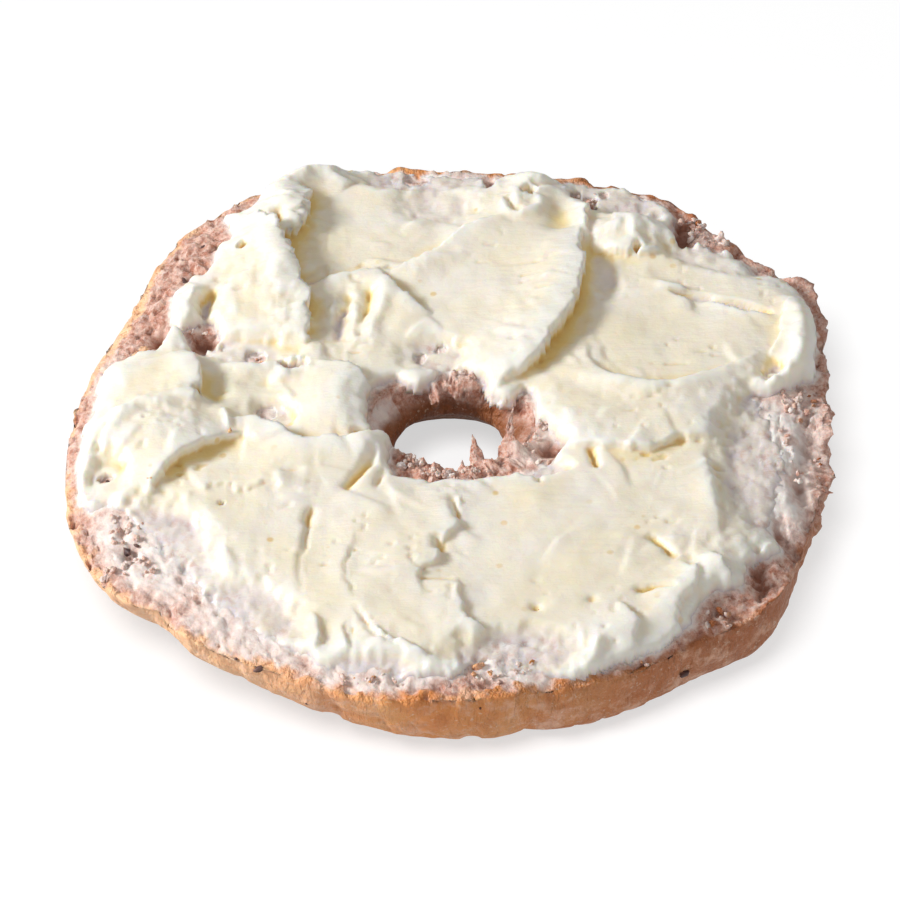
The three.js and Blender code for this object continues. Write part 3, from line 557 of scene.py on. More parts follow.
def knifeMarks(thickness, x, y):  # many little strokes, mostly round the ring
    draw = random.Random(butter["markSeed"])
    for _ in range(butter["marks"]):
        angle, radius = draw.uniform(0, 2 * math.pi), draw.uniform(14, 50)
        startX, startY = ringPoint(angle, radius)
        way = angle + draw.choice((-1, 1)) * math.pi / 2 + draw.gauss(0, 0.7)
        length, bend = draw.uniform(*butter["markLength"]), draw.uniform(-0.5, 0.5)
        middle = (startX + length / 2 * math.cos(way), startY + length / 2 * math.sin(way))
        stop = (middle[0] + length / 2 * math.cos(way + bend), middle[1] + length / 2 * math.sin(way + bend))
        path = softPath(((startX, startY), middle, stop), 3)
        lift, reach = draw.uniform(*butter["markLift"]), draw.uniform(0.8, 2.2)
        near = nearPath(path, x, y, 2.2 * reach)
        distance, share, _, _ = besidePath(path, x[near], y[near])
        side = np.where(distance > 0, bell(distance, reach), np.clip(1 + distance / 0.6, 0, 1))
        thickness[near] += lift * strokeTaper(share) * (side - 0.35 * bell(distance + 0.8, 0.7))


def butterHeight(x, y):  # thickness over the cut face, and how far its lips lean sideways
    flat = np.stack([x, y, np.zeros(len(x))], 1)
    thickness = butter["coat"] + layered(flat, butter["swells"])
    leanX, leanY = np.zeros(len(x)), np.zeros(len(x))
    for *patch, rise in butter["rises"]:
        across, along = inPatch(x, y, *patch)
        thickness += rise * bell(across, 1) * bell(along, 1)
    for centreX, centreY, sizeX, sizeY, height, size in butter["rough"]:
        near = np.flatnonzero((np.abs(x - centreX) < 2 * sizeX) & (np.abs(y - centreY) < 2 * sizeY))
        weight = bell((x[near] - centreX) / sizeX, 1) * bell((y[near] - centreY) / sizeY, 1)
        bumps = lumps(flat[near], size, 53) + 0.5 * lumps(flat[near] * 2.1, size, 54)
        thickness[near] += height * weight * bumps
    tears = 0.4 - np.abs(lumps(flat, 1.7, 68)) - 0.4 * np.abs(lumps(flat, 0.8, 69))  # pointed on narrow lines
    ringWay = np.arctan2(y - ringCentre[1], x - ringCentre[0])
    alongRing = np.stack([ringWay * 30, np.hypot(x, y - ringCentre[1]), np.zeros(len(x))], 1)
    drags = 0.35 - np.abs(lumps(alongRing + 0.6 * lumps(flat, 5, 73)[:, None], (6, 1.3, 1), 74))
    chips = smooth(lumps(flat, (1.3, 0.9, 1), 75), 0.6, 0.85) * smooth(lumps(flat, 6, 76), 0.1, 0.5)
    thickness += butter["drag"] * drags * smooth(lumps(flat, 9, 78), -0.2, 0.4) - butter["chip"] * chips
    teeth = layered(flat, butter["teeth"]) + tears
    knifeMarks(thickness, x, y)
    for index, (points, lift, high, scoop, over, ragged) in enumerate(butter["crests"]):
        path = softPath(points)
        near = nearPath(path, x, y, 2.5 * high)
        distance, share, leftX, leftY = besidePath(path, x[near], y[near])
        run = share * np.linalg.norm(np.diff(path, axis=0), axis=1).sum()
        along = np.stack([run, 9.0 * index + 0 * run, 0 * run], 1)
        spikes = 0.55 - 0.9 * np.abs(lumps(along, (2.6, 1, 1), 77))
        spikes -= 0.6 * np.abs(lumps(along, (0.9, 1, 1), 79))
        distance = distance + ragged * (0.6 * teeth[near] + spikes)
        taper = strokeTaper(share)
        low = np.maximum(-distance, 0)
        raised = np.where(distance > 0, bell(distance, high), np.clip(1 - low / 0.7, 0, 1) ** 1.5)
        scooped = low / 1.8 * np.exp(1 - low / 1.8)
        thickness[near] += taper * (lift * raised - scoop * scooped)
        lean = over * taper * np.where(distance > 0, bell(distance, 1.4), np.clip(1 - low / 0.7, 0, 1))
        leanX[near] -= lean * leftX
        leanY[near] -= lean * leftY
    for points, lift, width in butter["ridges"]:
        path = softPath(points)
        near = nearPath(path, x, y, 3 * width)
        distance, share, _, _ = besidePath(path, x[near], y[near])
        thickness[near] += lift * bell(distance + 0.2 * teeth[near], width) * strokeTaper(share, 0.5)
    for points, depth, width in butter["grooves"]:
        path = softPath(points)
        near = nearPath(path, x, y, 3 * width + 1)
        distance, share, _, _ = besidePath(path, x[near], y[near])
        thickness[near] -= depth * bell(distance + 0.3 * teeth[near], width) * strokeTaper(share, 0.5)
    fineGrain, patchy = layered(flat, butter["grain"]), layered(flat, butter["patches"])
    thinned = np.zeros(len(x))
    for *patch, film in butter["films"]:
        weight = 1 - smooth(np.hypot(*inPatch(x, y, *patch)) + 0.12 * teeth, 0.55, 1.25)
        thickness += (film + 0.05 * fineGrain + 0.16 * patchy - thickness) * weight
        thinned = np.maximum(thinned, weight)
    angle, radius = ringPlace(x, y)
    margin = insideOutline(closedPath(butterRim), x, y)
    margin = np.minimum(margin, -insideOutline(closedPath(butterHoleRim), x, y))
    margin = np.minimum(margin, rimAt(angle) - radius + butter["overRim"])
    margin = margin + (0.55 + 0.5 * thinned) * teeth + (0.15 + 0.2 * thinned) * fineGrain
    margin = margin - 1.5 * smooth(radius - rimAt(angle), -2.2, -0.4)
    inside = np.clip(margin / (butter["marginRound"] * (1 + 1.5 * thinned)), 0, 1)
    profile = 0.75 * np.sqrt(1 - (1 - inside) ** 2) + 0.25 * smooth(margin, 0, 4)
    thickness = np.maximum(thickness, 0.1 - 0.6 * thinned) * profile
    thickness = thickness + np.minimum(margin, 0) * (1.2 - 0.7 * thinned)
    for centreX, centreY, sizeX, sizeY in butter["bare"]:
        near = np.hypot((x - centreX) / sizeX, (y - centreY) / sizeY) + 0.55 * teeth
        thickness -= 3.6 * np.clip(1.25 - near, 0, 1) ** 0.7
    held = smooth(thickness, 0.1, 1.2)  # nothing leans where the spread runs out
    return np.maximum(thickness, butter["floor"]), leanX * held, leanY * held


def blurred(field, sigma):  # two-way smoothing of a square grid
    reach = int(sigma * 3)
    kernel = np.exp(-(np.arange(-reach, reach + 1) / sigma) ** 2 / 2)
    kernel /= kernel.sum()
    padded = np.pad(field, reach, mode="edge")
    padded = np.apply_along_axis(np.convolve, 0, padded, kernel, "valid")
    return np.apply_along_axis(np.convolve, 1, padded, kernel, "valid")


def joinedCells(kept):  # cells with all four corners kept, with no two meeting at a corner alone
    cells = kept[:-1, :-1] & kept[1:, :-1] & kept[:-1, 1:] & kept[1:, 1:]
    for _ in range(4):
        a, b, c, d = cells[:-1, :-1], cells[:-1, 1:], cells[1:, :-1], cells[1:, 1:]
        cells[:-1, 1:] |= a & d & ~b & ~c
        a, b, c, d = cells[:-1, :-1], cells[:-1, 1:], cells[1:, :-1], cells[1:, 1:]
        cells[:-1, :-1] |= b & c & ~a & ~d
    return cells


def closeUnderneath(bm, half, size):  # a coarser second skin, joined to the first all round its edges
    skin = bmesh.ops.extrude_face_region(bm, geom=bm.faces[:])["geom"]
    left = [g for g in skin if isinstance(g, bmesh.types.BMFace)]
    under = [g for g in skin if isinstance(g, bmesh.types.BMVert)]
    for block in butter["underBlocks"]:
        groups = {}
        for face in left:
            centre = face.calc_center_median()
            key = (int((centre.x + half) / size / block), int((centre.y + half) / size / block))
            groups.setdefault(key, []).append(face)
        whole = {key: faces for key, faces in groups.items() if len(faces) == block ** 2}
        left = [face for key, faces in groups.items() if key not in whole for face in faces]
        for parity in ((0, 0), (0, 1), (1, 0), (1, 1)):
            apart = [faces for key, faces in whole.items() if (key[0] % 2, key[1] % 2) == parity]
            bmesh.ops.dissolve_faces(bm, faces=[face for faces in apart for face in faces], use_verts=False)
    return {vert for vert in under if vert.is_valid}


def makeButter():
    half = butter["half"]
    cells = int(2 * half / butter["cell"])
    size = 2 * half / cells
    bm = bmesh.new()
    bmesh.ops.create_grid(bm, x_segments=cells, y_segments=cells, size=half)
    mesh = bpy.data.meshes.new("butter")
    bm.to_mesh(mesh)
    plain = np.empty(len(mesh.vertices) * 3)
    mesh.vertices.foreach_get("co", plain)
    x, y = plain.reshape(-1, 3)[:, 0], plain.reshape(-1, 3)[:, 1]
    thickness, leanX, leanY = butterHeight(x, y)
    angle, radius = ringPlace(x, y)
    face = cutFace(angle, np.minimum(radius, rimAt(angle)))
    crumb = face + crumbRelief(np.stack([x, y, face], 1)) - facePits(x, y)
    height = face + thickness + 0.4 * (crumb - face) * np.exp(-np.maximum(thickness, 0) / 0.4)
    bottom = np.minimum(height - butter["skirt"], face - butter["sunk"])
    column = np.rint((x + half) / size).astype(int)
    line = np.rint((y + half) / size).astype(int)
    grid = np.zeros((cells + 1, cells + 1))
    grid[line, column] = height
    # How far each point lies below its blurred surroundings, negative on crests. The material uses it to paint
    # shade golden in hollows and to paint a highlight on crests.
    hollowForPaintedLight = 0.9 * (blurred(grid, 1.2 / size) - grid) + 0.7 * (blurred(grid, 3 / size) - grid)
    hollowForPaintedLight = hollowForPaintedLight[line, column] * smooth(thickness, 0.1, 0.9)
    kept = np.zeros((cells + 1, cells + 1), bool)
    kept[line, column] = thickness > butter["keptFrom"]
    keptCells = joinedCells(kept)
    names = ("thickness", "hollowForPaintedLight", "leanX", "leanY", "top", "low")
    layers = {name: bm.verts.layers.float.new(name) for name in names}
    values = np.stack([thickness, hollowForPaintedLight, leanX, leanY, height, bottom], 1).tolist()
    for vert, row in zip(bm.verts, values):
        for layer, value in zip(layers.values(), row):
            vert[layer] = value
    gone = []
    for face in bm.faces:
        centre = face.calc_center_median()
        if not keptCells[int((centre.y + half) / size), int((centre.x + half) / size)]:
            gone.append(face)
    bmesh.ops.delete(bm, geom=gone, context="FACES")
    under = closeUnderneath(bm, half, size)
    for vert in bm.verts:
        if vert in under:
            vert.co.z = vert[layers["low"]]
        else:
            vert.co += Vector((vert[layers["leanX"]], vert[layers["leanY"]], vert[layers["top"]]))
    for name in ("leanX", "leanY", "top", "low"):
        bm.verts.layers.float.remove(bm.verts.layers.float[name])
    bmesh.ops.recalc_face_normals(bm, faces=bm.faces)
    return finishPiece("butterSpread", bm, mesh)


def faceHeight(x, y):  # height of the cut face in plan
    angle, radius = ringPlace(np.array([float(x)]), np.array([float(y)]))
    return float(cutFace(angle, np.minimum(radius, rimAt(angle)))[0])


crumbs = {
    "seed": 5, "squash": 0.8, "uneven": 0.6, "sunk": (-0.35, 0.3), "greased": 0.8, "clearOfRim": 0.3,
    "clusters": (  # x, y, spread, how many, size, how much of it is crust
        (39.8, 38.2, 1.4, 1.1, 9, 1.25, 0.3), (48.6, 2.6, 1.4, 2.0, 14, 0.9, 0),
        (47.6, -4.5, 0.8, 2.5, 8, 0.7, 0), (48.6, -10, 0.8, 3, 8, 0.7, 0),
        (50.8, 3, 1.2, 4, 14, 0.8, 0.3), (52, -8, 0.8, 6, 12, 0.6, 0.7), (2, 8.3, 1.6, 1.0, 16, 0.85, 0),
        (9.3, 8.2, 1.3, 0.8, 8, 0.7, 0), (-5.5, -9.5, 1.6, 1.2, 16, 0.85, 0),
        (-1.5, -11.8, 2.2, 0.7, 16, 0.75, 0), (3.5, -11.2, 1.8, 0.6, 12, 0.65, 0),
        (10, -6, 2, 2.2, 18, 0.9, 0), (12.5, -2.5, 1.2, 1.5, 8, 0.8, 0),
        (13.5, -9.8, 1.4, 0.6, 8, 0.6, 0), (-44.5, -23, 2.4, 2.5, 18, 0.8, 0),
        (-42.5, -30, 2.4, 1.5, 14, 0.75, 0), (-46.5, -30.5, 1.2, 0.8, 6, 0.8, 0),
        (36.3, -39, 1.6, 1.6, 14, 0.75, 0.2), (27, -47.3, 2.5, 0.7, 12, 0.6, 0.3),
        (36, 41, 1.8, 3, 16, 0.9, 0.2), (-21.5, 9.6, 1.4, 0.5, 6, 0.5, 0),
        (-27.4, 11.2, 0.7, 0.5, 4, 0.5, 0.4), (-36.5, 17.5, 1.5, 1, 6, 0.6, 0),
        (20.5, 47, 1.5, 1.5, 10, 0.6, 0.1), (-11, -50.8, 4, 0.7, 16, 0.6, 0.2),
        (5, -50.6, 2, 0.6, 8, 0.6, 0.3), (9.8, -48.8, 1.3, 1, 8, 0.55, 0.2),
        (20.6, 29.5, 0.4, 2.5, 5, 0.35, 0), (-47.5, 35.5, 0.5, 0.5, 2, 0.5, 1),
        (-46.6, 24.4, 0.4, 0.5, 3, 0.6, 1),
    ),
    "flakes": (  # x, y, height over the face, size: bits of crust lying on the butter
        (-41.7, -15.4, 2.2, 0.8), (-43.8, -1.2, 3.6, 0.45), (-30.9, -6.2, 2.8, 0.5),
        (-36.2, 2.4, 1.2, 0.5), (-44, 13.6, -0.2, 1.3), (-45.4, 12.8, -0.3, 0.9), (12, -39.3, 0.9, 0.35),
        (37.4, 1.0, 1.7, 0.35), (3.8, -48.6, -0.1, 1.7), (5.4, -49.6, -0.3, 1.0),
    ),
}
shreds = (  # foot, tip, width at the foot, thickness
    ((4.2, -10.9, 13.6), (3.2, -5.3, 16.9), 2.1, 1.0),
    ((7.4, -10.2, 13.4), (8.8, 0.2, 16.6), 1.7, 0.9),
    ((8.4, -10.4, 14.2), (8.9, -4.5, 16.6), 2.2, 1.2),
    ((-1.6, 7.4, 15.6), (-2.7, 4.4, 14.0), 2.6, 0.9),
    ((1.9, -11.8, 14.4), (1.8, -9.6, 16.2), 1.4, 0.9),
    ((51.3, -12.5, 13.5), (53.6, -13.2, 13.2), 1.3, 0.8),
    ((50.4, -13.5, 12.5), (51.8, -16.6, 12.2), 1.2, 0.7),
)


def roughen(verts, middle, amount, size):
    for vert in verts:
        away = vert.co - middle
        vert.co += away * amount * noise.noise(vert.co / size)


def makeCrumbs():
    draw = random.Random(crumbs["seed"])
    noise.seed_set(crumbs["seed"])  # noise_vector would otherwise differ from run to run
    bm = bmesh.new()
    crust = bm.verts.layers.float.new("crust")
    smear = bm.verts.layers.float.new("smear")
    # The wall layer stays at zero, so no painted wall shade reaches the crumbs.
    bm.verts.layers.float.new("wall")

    def addBit(place, size, crusty, greased):
        angle = draw.uniform(0, math.pi)
        axis = Vector((draw.gauss(0, 1), draw.gauss(0, 1), 1)).normalized()
        turn = Matrix.Rotation(angle, 4, axis)
        stretch = Matrix.Diagonal((draw.uniform(0.7, 1.4), draw.uniform(0.6, 1), crumbs["squash"], 1))
        bit = bmesh.ops.create_icosphere(bm, subdivisions=3, radius=size * draw.uniform(0.3, 0.65),
                                         matrix=Matrix.Translation(place) @ turn @ stretch)["verts"]
        roughen(bit, Vector(place), crumbs["uneven"], 0.5 * size)
        roughen(bit, Vector(place), 0.6 * crumbs["uneven"], 0.2 * size)
        for vert in bit:
            vert[crust], vert[smear] = crusty, greased
    for x, y, spreadX, spreadY, count, size, crusty in crumbs["clusters"]:
        for _ in range(count):
            bitX, bitY = x + draw.uniform(-1, 1) * spreadX, y + draw.uniform(-1, 1) * spreadY
            angle, radius = ringPlace(bitX, bitY)
            if not around(bread["holeRim"], angle) <= radius + crumbs["clearOfRim"] <= rimAt(angle):
                continue
            place = (bitX, bitY, faceHeight(bitX, bitY) + draw.uniform(*crumbs["sunk"]) * size)
            addBit(place, size, 1.0 if draw.random() < crusty else 0.0, draw.uniform(0, crumbs["greased"]))
    for x, y, rise, size in crumbs["flakes"]:
        addBit((x, y, faceHeight(x, y) + rise), size, 1.0, 0.0)
    for foot, tip, width, thickness in shreds:
        foot, tip = Vector(foot), Vector(tip)
        length = (tip - foot).length
        stretch = Matrix.Diagonal((1.6 * width, 1.6 * thickness, length * 1.1, 1))
        turn = (tip - foot).to_track_quat("Z", "Y").to_matrix().to_4x4()
        bit = bmesh.ops.create_icosphere(bm, subdivisions=4, radius=0.5)["verts"]
        for vert in bit:
            taper = 0.62 - vert.co.z  # wide at the foot, thin at the tip
            vert.co.x, vert.co.y = vert.co.x * taper, vert.co.y * taper
        bmesh.ops.transform(bm, verts=bit, matrix=Matrix.Translation((foot + tip) / 2) @ turn @ stretch)
        for vert in bit:
            vert.co += 0.32 * noise.noise_vector(vert.co / 0.9) + 0.14 * noise.noise_vector(vert.co / 0.35)
    return finishPiece("looseCrumbs", bm, bpy.data.meshes.new("crumbs"))


specks = {
    "seed": 3, "flat": (1, 0.6, 0.5), "sunk": 0.3, "inSide": 0.4, "uneven": 0.9,
    "onFace": (  # x, y, size
        (-36.5, 36.6, 0.6), (-38.9, 28.7, 0.9), (-47.8, -13.4, 0.7), (-44.3, -27, 1.2), (-43.2, -25.8, 0.7),
    ),
    "onSide": (  # bearing, share of the way down, size
        (241, 0.02, 1.2), (248, 0.27, 0.9), (254, 0.12, 0.7), (313.5, 0.19, 0.6), (308, 0.23, 1.1),
        (237, 0, 0.4), (274.5, 0.06, 0.35),
    ),
}


def makeSpecks():
    draw = random.Random(specks["seed"])
    bm = bmesh.new()
    places = [((x, y, faceHeight(x, y) - specks["sunk"]), size) for x, y, size in specks["onFace"]]
    for bearing, share, size in specks["onSide"]:
        radius, height = sideSection(np.array([math.radians(bearing)]), np.array([share]))
        x, y = ringPoint(math.radians(bearing), float(radius[0]) - specks["inSide"])
        places.append(((float(x), float(y), float(height[0])), size))
    for place, size in places:
        turn = Matrix.Rotation(draw.uniform(0, math.pi), 4, "Z")
        stretch = Matrix.Diagonal((*specks["flat"], 1))
        bit = bmesh.ops.create_icosphere(bm, subdivisions=2, radius=size * 0.7,
                                         matrix=Matrix.Translation(place) @ turn @ stretch)["verts"]
        roughen(bit, Vector(place), specks["uneven"], 0.5)
    return finishPiece("fruitSpecks", bm, bpy.data.meshes.new("specks"))


def addNode(tree, kind, values=None, **settings):  # a shader node with its sockets set or linked
    node = tree.nodes.new(kind)
    for name, value in settings.items():
        setattr(node, name, value)
    for name, value in (values or {}).items():
        socket = node.inputs[name]
        if isinstance(value, bpy.types.NodeSocket):
            tree.links.new(value, socket)
        else:
            socket.default_value = value
    return node


def ramp(tree, fac, stops):
    node = addNode(tree, "ShaderNodeValToRGB", {"Fac": fac})
    elements = node.color_ramp.elements
    while len(elements) > len(stops):
        elements.remove(elements[-1])
    while len(elements) < len(stops):
        elements.new(1)
    for element, (place, colour) in zip(elements, stops):
        element.position = place
        element.color = (*colour, 1)
    return node.outputs["Color"]


def mixed(tree, fac, a, b):
    node = addNode(tree, "ShaderNodeMix", data_type="RGBA")
    for index, value in ((0, fac), (6, a), (7, b)):
        if isinstance(value, bpy.types.NodeSocket):
            tree.links.new(value, node.inputs[index])
        else:
            node.inputs[index].default_value = value if index == 0 else (*value, 1)
    return node.outputs[2]


def grain(tree, coords, scale, detail=3, roughness=0.55):
    return addNode(tree, "ShaderNodeTexNoise", {"Vector": coords, "Scale": scale, "Detail": detail,
                                                "Roughness": roughness}).outputs["Fac"]


def span(tree, value, low, high, start=0.0, stop=1.0):
    return addNode(tree, "ShaderNodeMapRange", {"Value": value, "From Min": low, "From Max": high,
                                                "To Min": start, "To Max": stop}).outputs["Result"]


def stretched(tree, coords, scale, turn=0.0):
    return addNode(tree, "ShaderNodeMapping", {"Vector": coords, "Scale": scale,
                                               "Rotation": (0, 0, turn)}).outputs["Vector"]


def attribute(tree, name):
    return addNode(tree, "ShaderNodeAttribute", attribute_name=name).outputs["Fac"]


def times(tree, a, b):
    node = addNode(tree, "ShaderNodeMath", operation="MULTIPLY")
    for socket, value in zip(node.inputs, (a, b)):
        if isinstance(value, bpy.types.NodeSocket):
            tree.links.new(value, socket)
        else:
            socket.default_value = value
    return node.outputs[0]


def newMaterial(name):
    material = bpy.data.materials.new(name)
    material.use_nodes = True
    tree = material.node_tree
    tree.nodes.clear()
    return material, tree, addNode(tree, "ShaderNodeTexCoord").outputs["Object"]


def finishMaterial(tree, values, height=None, strength=0.5, distance=0.0005):
    shader = addNode(tree, "ShaderNodeBsdfPrincipled", values)
    if height is not None:
        bump = addNode(tree, "ShaderNodeBump", {"Strength": strength, "Distance": distance, "Height": height})
        tree.links.new(bump.outputs["Normal"], shader.inputs["Normal"])
    out = addNode(tree, "ShaderNodeOutputMaterial")
    tree.links.new(shader.outputs["BSDF"], out.inputs["Surface"])


def mottled(tree, coords, base, look):  # patches of another colour, where a noise is high
    noiseValues, low, high, most, colour = look
    return mixed(tree, span(tree, grain(tree, coords, *noiseValues), low, high, 0, most), base, colour)


bake = {
    "crumb": ((0.34, (0.42, 0.15, 0.09)), (0.5, (0.66, 0.34, 0.25)), (0.64, (0.86, 0.57, 0.46))),
    # The dark brown on the next line is painted shade for the deepest crumb; the pale one is pale threads,
    # partly a painted highlight.
    "crumbThreadsAndHighlight": (0.93, 0.72, 0.63), "paintedCrumbShade": (0.30, 0.10, 0.05), "greased": (0.96, 0.89, 0.84),
    "crust": ((0.3, (0.66, 0.20, 0.045)), (0.5, (0.88, 0.34, 0.09)), (0.7, (0.95, 0.47, 0.17))),
    "leftSide": (-0.004, -0.032), "paintedLightPeach": (1.0, 0.59, 0.34),  # from and to x, and the colour there: painted light, paler towards the left
    # The span and first colour on the next line paint shade, browner towards the right; its last colour paints
    # shade on the hole's wall.
    "rightSide": (-0.01, 0.035), "paintedShadeBrown": (0.40, 0.125, 0.042), "wall": (0.26, 0.085, 0.035),
    # Mottling: noise scale, detail and roughness, where it starts and is full, how much, colour.
    "pale": ((230, 5, 0.7), 0.5, 0.66, 0.65, (0.92, 0.58, 0.41)),
    "dark": ((260, 3, 0.5), 0.56, 0.72, 0.45, (0.46, 0.15, 0.045)),
    "fleck": ((1500, 3, 0.6), 0.6, 0.75, 0.6, (0.95, 0.78, 0.62)),
    "softness": {"Subsurface Weight": 0.25, "Subsurface Radius": (0.9, 0.5, 0.3), "Subsurface Scale": 0.001},
}


def breadMaterial():
    material, tree, coords = newMaterial("bakedBread")
    crust, paintedShadeDepth, smear = (attribute(tree, name) for name in ("crust", "paintedShadeDepth", "smear"))
    fine = grain(tree, coords, 1100, 5, 0.65)
    crumb = ramp(tree, grain(tree, coords, 760, 5, 0.7), bake["crumb"])
    # Pale threads, partly a painted highlight: the crumb is paler where the fine bump stands highest.
    crumb = mixed(tree, span(tree, fine, 0.45, 0.65, 0, 0.8), crumb, bake["crumbThreadsAndHighlight"])
    rubbed = times(tree, smear, span(tree, grain(tree, coords, 330, 4, 0.6), 0.35, 0.55, 0.5, 1))
    crumb = mixed(tree, rubbed, crumb, bake["greased"])
    # Painted shade: the crumb is darkened where it is torn deepest.
    crumb = mixed(tree, span(tree, paintedShadeDepth, 0.5, 1.8, 0, 0.8), crumb, bake["paintedCrumbShade"])
    shell = ramp(tree, grain(tree, coords, 75, 5, 0.6), bake["crust"])
    across = addNode(tree, "ShaderNodeSeparateXYZ", {"Vector": coords}).outputs["X"]
    # Painted light: paler peach towards the left. Painted shade: browner towards the right.
    shell = mixed(tree, span(tree, across, *bake["leftSide"], 0, 0.9), shell, bake["paintedLightPeach"])
    shell = mixed(tree, span(tree, across, *bake["rightSide"], 0, 0.92), shell, bake["paintedShadeBrown"])
    shell = mottled(tree, coords, shell, bake["pale"])
    # Painted shade: the hole's wall is darkened towards a deep brown.
    shell = mixed(tree, span(tree, attribute(tree, "wall"), 0, 1, 0, 0.85), shell, bake["wall"])
    shell = mottled(tree, coords, shell, bake["dark"])
    shell = mottled(tree, coords, shell, bake["fleck"])
    colour = mixed(tree, crust, crumb, shell)
    creased = stretched(tree, coords, (420, 420, 160))
    soft = mixed(tree, span(tree, smear, 0, 1, 0.3, 0.85), fine, (0.5, 0.5, 0.5))
    folds = span(tree, grain(tree, creased, 1, 4, 0.6), 0.36, 0.64)
    height = mixed(tree, crust, soft, mixed(tree, 0.3, folds, grain(tree, coords, 1300, 3)))
    shine = span(tree, crust, 0, 1, 0.9, 0.5)
    finishMaterial(tree, {"Base Color": colour, "Roughness": shine, **bake["softness"]}, height, 1.0, 0.0009)
    return material


spreadLook = {
    "body": ((0.3, (0.965, 0.835, 0.63)), (0.7, (0.97, 0.88, 0.79))),
    # The last colour here is painted shade: the gold that hollows are tinted.
    "film": (0.80, 0.71, 0.69), "crumbBelow": (0.70, 0.47, 0.39), "paintedCavityShade": (0.90, 0.69, 0.27),
    # Here: painted shade for the deepest hollows, a painted highlight for crests, and painted shade for dots
    # that look like tiny pits.
    "paintedDeepShade": (0.82, 0.52, 0.13), "crest": (0.96, 0.93, 0.87), "paintedPitShade": (0.80, 0.58, 0.24),
    "softness": {"Subsurface Weight": 0.55, "Subsurface Radius": (1.0, 0.72, 0.34),
                 "Subsurface Scale": 0.002},
}


def butterMaterial():
    material, tree, coords = newMaterial("softButter")
    thickness, hollowForPaintedLight = attribute(tree, "thickness"), attribute(tree, "hollowForPaintedLight")
    body = ramp(tree, grain(tree, coords, 90, 4), spreadLook["body"])
    # Painted highlight: crests, which stand above their surroundings, are made paler.
    body = mixed(tree, span(tree, hollowForPaintedLight, -0.9, -0.2, 0.7, 0), body, spreadLook["crest"])
    uneven = span(tree, grain(tree, coords, 260, 4), 0.3, 0.62, 0.35, 1)
    body = mixed(tree, times(tree, span(tree, thickness, 0.1, 0.95, 1, 0), uneven), body, spreadLook["film"])
    poresUnder = span(tree, grain(tree, coords, 620, 5, 0.65), 0.5, 0.66, 0, 0.8)
    poresShow = times(tree, span(tree, thickness, 0.05, 0.5, 1, 0), poresUnder)
    body = mixed(tree, poresShow, body, spreadLook["crumbBelow"])
    # Painted shade: hollows tinted gold, and the deepest hollows a darker gold.
    body = mixed(tree, span(tree, hollowForPaintedLight, 0.28, 1.0, 0, 0.9), body, spreadLook["paintedCavityShade"])
    body = mixed(tree, span(tree, hollowForPaintedLight, 0.9, 1.9, 0, 0.9), body, spreadLook["paintedDeepShade"])
    # Painted shade: golden dots scattered like the shade inside tiny pits, with no pit in the shape.
    cells = addNode(tree, "ShaderNodeTexVoronoi", {"Vector": coords, "Scale": 260})
    rare = span(tree, grain(tree, coords, 70, 2), 0.5, 0.62)
    pitShadeDots = times(tree, span(tree, cells.outputs["Distance"], 0.08, 0.16, 0.8, 0), rare)
    body = mixed(tree, pitShadeDots, body, spreadLook["paintedPitShade"])
    streaks = stretched(tree, coords, (180, 900, 600), 0.1)
    height = mixed(tree, 0.5, grain(tree, streaks, 1.0, 4, 0.6), grain(tree, coords, 700, 4, 0.6))
    finishMaterial(tree, {"Base Color": body, "Roughness": 0.36, "IOR": 1.45, **spreadLook["softness"]},
                   height, 0.45, 0.0005)
    return material


def speckMaterial():
    material, tree, coords = newMaterial("driedFruit")
    colour = ramp(tree, grain(tree, coords, 900, 3), ((0.35, (0.06, 0.028, 0.028)), (0.7, (0.2, 0.10, 0.08))))
    finishMaterial(tree, {"Base Color": colour, "Roughness": 0.5})
    return material


bakedBread, softButter = breadMaterial(), butterMaterial()
breadHalf, butterSpread = makeBread(), makeButter()
looseCrumbs, fruitSpecks = makeCrumbs(), makeSpecks()
for piece, material in ((breadHalf, bakedBread), (butterSpread, softButter), (looseCrumbs, bakedBread),
                        (fruitSpecks, speckMaterial())):
    piece.data.materials.append(material)
    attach(piece, "root")
    print(piece.name + ":", sum(len(face.vertices) - 2 for face in piece.data.polygons), "triangles")
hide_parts("bread")
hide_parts("butter")

studio = {
    "floorSize": 3.0, "floorColour": (0.6, 0.6, 0.6), "floorSeen": (0.4, 0.4, 0.4), "floorGlow": 0.61,
    "keyFrom": (-0.73, -0.04, 0.44), "keySize": 0.26, "keyPower": 7.4,
    "shadeFrom": (-0.15, -0.4, 0.8), "shadeSize": 0.36, "shadePower": 6.6,
    "fillFrom": (0.15, -0.95, 0.6), "fillPower": 1.0, "fillSize": 1.2, "worldStrength": 0.38,
    "target": (0, 0, 0.009), "distance": 0.62, "elevation": 44, "focal": 173.6,
}


def addAreaLight(name):  # a round lamp aimed at the origin
    light = bpy.data.lights.new(name, "AREA")
    light.shape, light.size, light.energy = "DISK", studio[name + "Size"], studio[name + "Power"]
    lamp = bpy.data.objects.new(name, light)
    lamp.location = studio[name + "From"]
    lamp.rotation_euler = (-Vector(studio[name + "From"])).to_track_quat("-Z", "Y").to_euler()
    bpy.context.scene.collection.objects.link(lamp)
    return lamp


def lightOnly(lamp, name, pieces):  # the lamp lights these pieces and nothing else
    group = bpy.data.collections.new(name)
    for piece in pieces:
        group.objects.link(piece)
    lamp.light_linking.receiver_collection = group


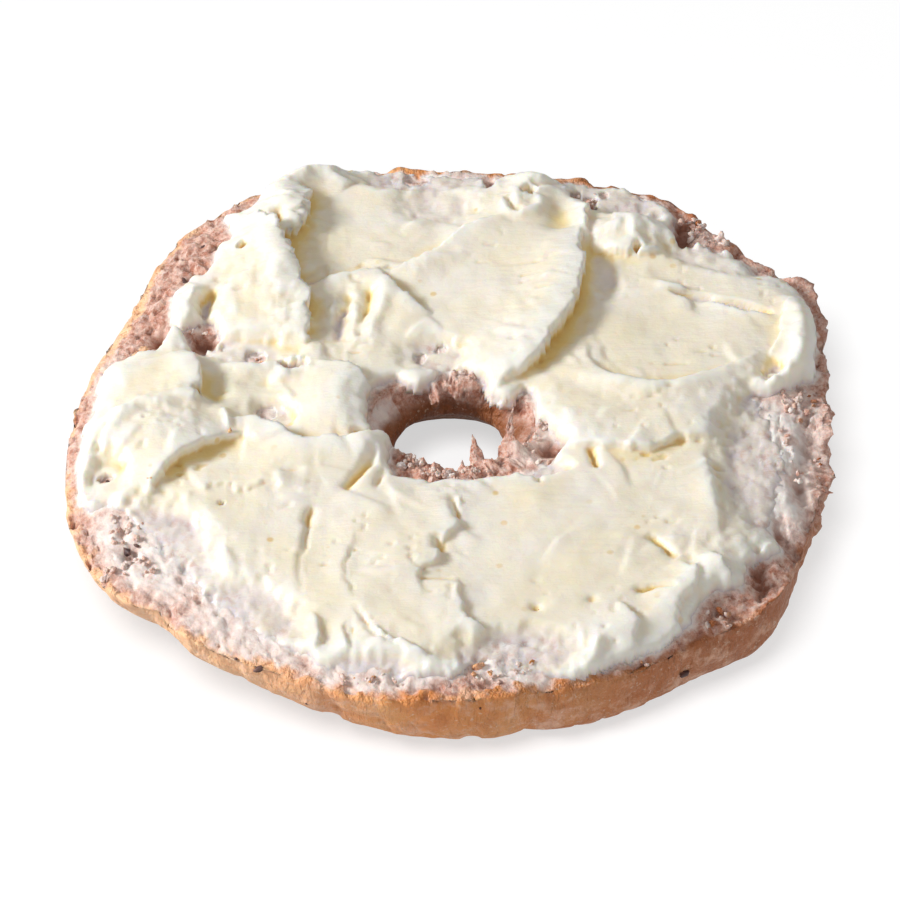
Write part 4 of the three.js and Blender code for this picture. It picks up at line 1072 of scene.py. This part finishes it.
bm = bmesh.new()
bmesh.ops.create_grid(bm, x_segments=1, y_segments=1, size=studio["floorSize"] / 2)
floorMesh = bpy.data.meshes.new("floor")
bm.to_mesh(floorMesh)
bm.free()
floor = bpy.data.objects.new("floor", floorMesh)
bpy.context.scene.collection.objects.link(floor)
floorMaterial, tree, coords = newMaterial("paleFloor")
lit = addNode(tree, "ShaderNodeBsdfDiffuse", {"Color": (*studio["floorColour"], 1)})
seenDiffuse = addNode(tree, "ShaderNodeBsdfDiffuse", {"Color": (*studio["floorSeen"], 1)})
seenGlow = addNode(tree, "ShaderNodeEmission", {"Color": (1, 1, 1, 1), "Strength": studio["floorGlow"]})
seen = addNode(tree, "ShaderNodeAddShader")
tree.links.new(seenDiffuse.outputs[0], seen.inputs[0])
tree.links.new(seenGlow.outputs[0], seen.inputs[1])
paths = addNode(tree, "ShaderNodeLightPath")
both = addNode(tree, "ShaderNodeMixShader", {"Fac": paths.outputs["Is Camera Ray"]})
tree.links.new(lit.outputs[0], both.inputs[1])
tree.links.new(seen.outputs[0], both.inputs[2])
out = addNode(tree, "ShaderNodeOutputMaterial")
tree.links.new(both.outputs[0], out.inputs["Surface"])
floor.data.materials.append(floorMaterial)

lightOnly(addAreaLight("key"), "litFood", (breadHalf, butterSpread, looseCrumbs, fruitSpecks))
lightOnly(addAreaLight("shade"), "litFloor", (floor,))
addAreaLight("fill")
world = bpy.data.worlds.new("studio")
world.use_nodes = True
world.node_tree.nodes["Background"].inputs["Color"].default_value = (1, 1, 1, 1)
world.node_tree.nodes["Background"].inputs["Strength"].default_value = studio["worldStrength"]
scene = bpy.context.scene
scene.world = world
scene.view_settings.view_transform = "Standard"

camera = bpy.data.cameras.new("camera")
camera.lens, camera.sensor_width = studio["focal"], 36
camera.clip_start, camera.clip_end = 0.01, 10
cameraObject = bpy.data.objects.new("camera", camera)
lift = math.radians(studio["elevation"])
back = Vector((0, -math.cos(lift), math.sin(lift)))
cameraObject.location = Vector(studio["target"]) + back * studio["distance"]
cameraObject.rotation_euler = (math.pi / 2 - lift, 0, 0)
scene.collection.objects.link(cameraObject)
scene.camera = cameraObject
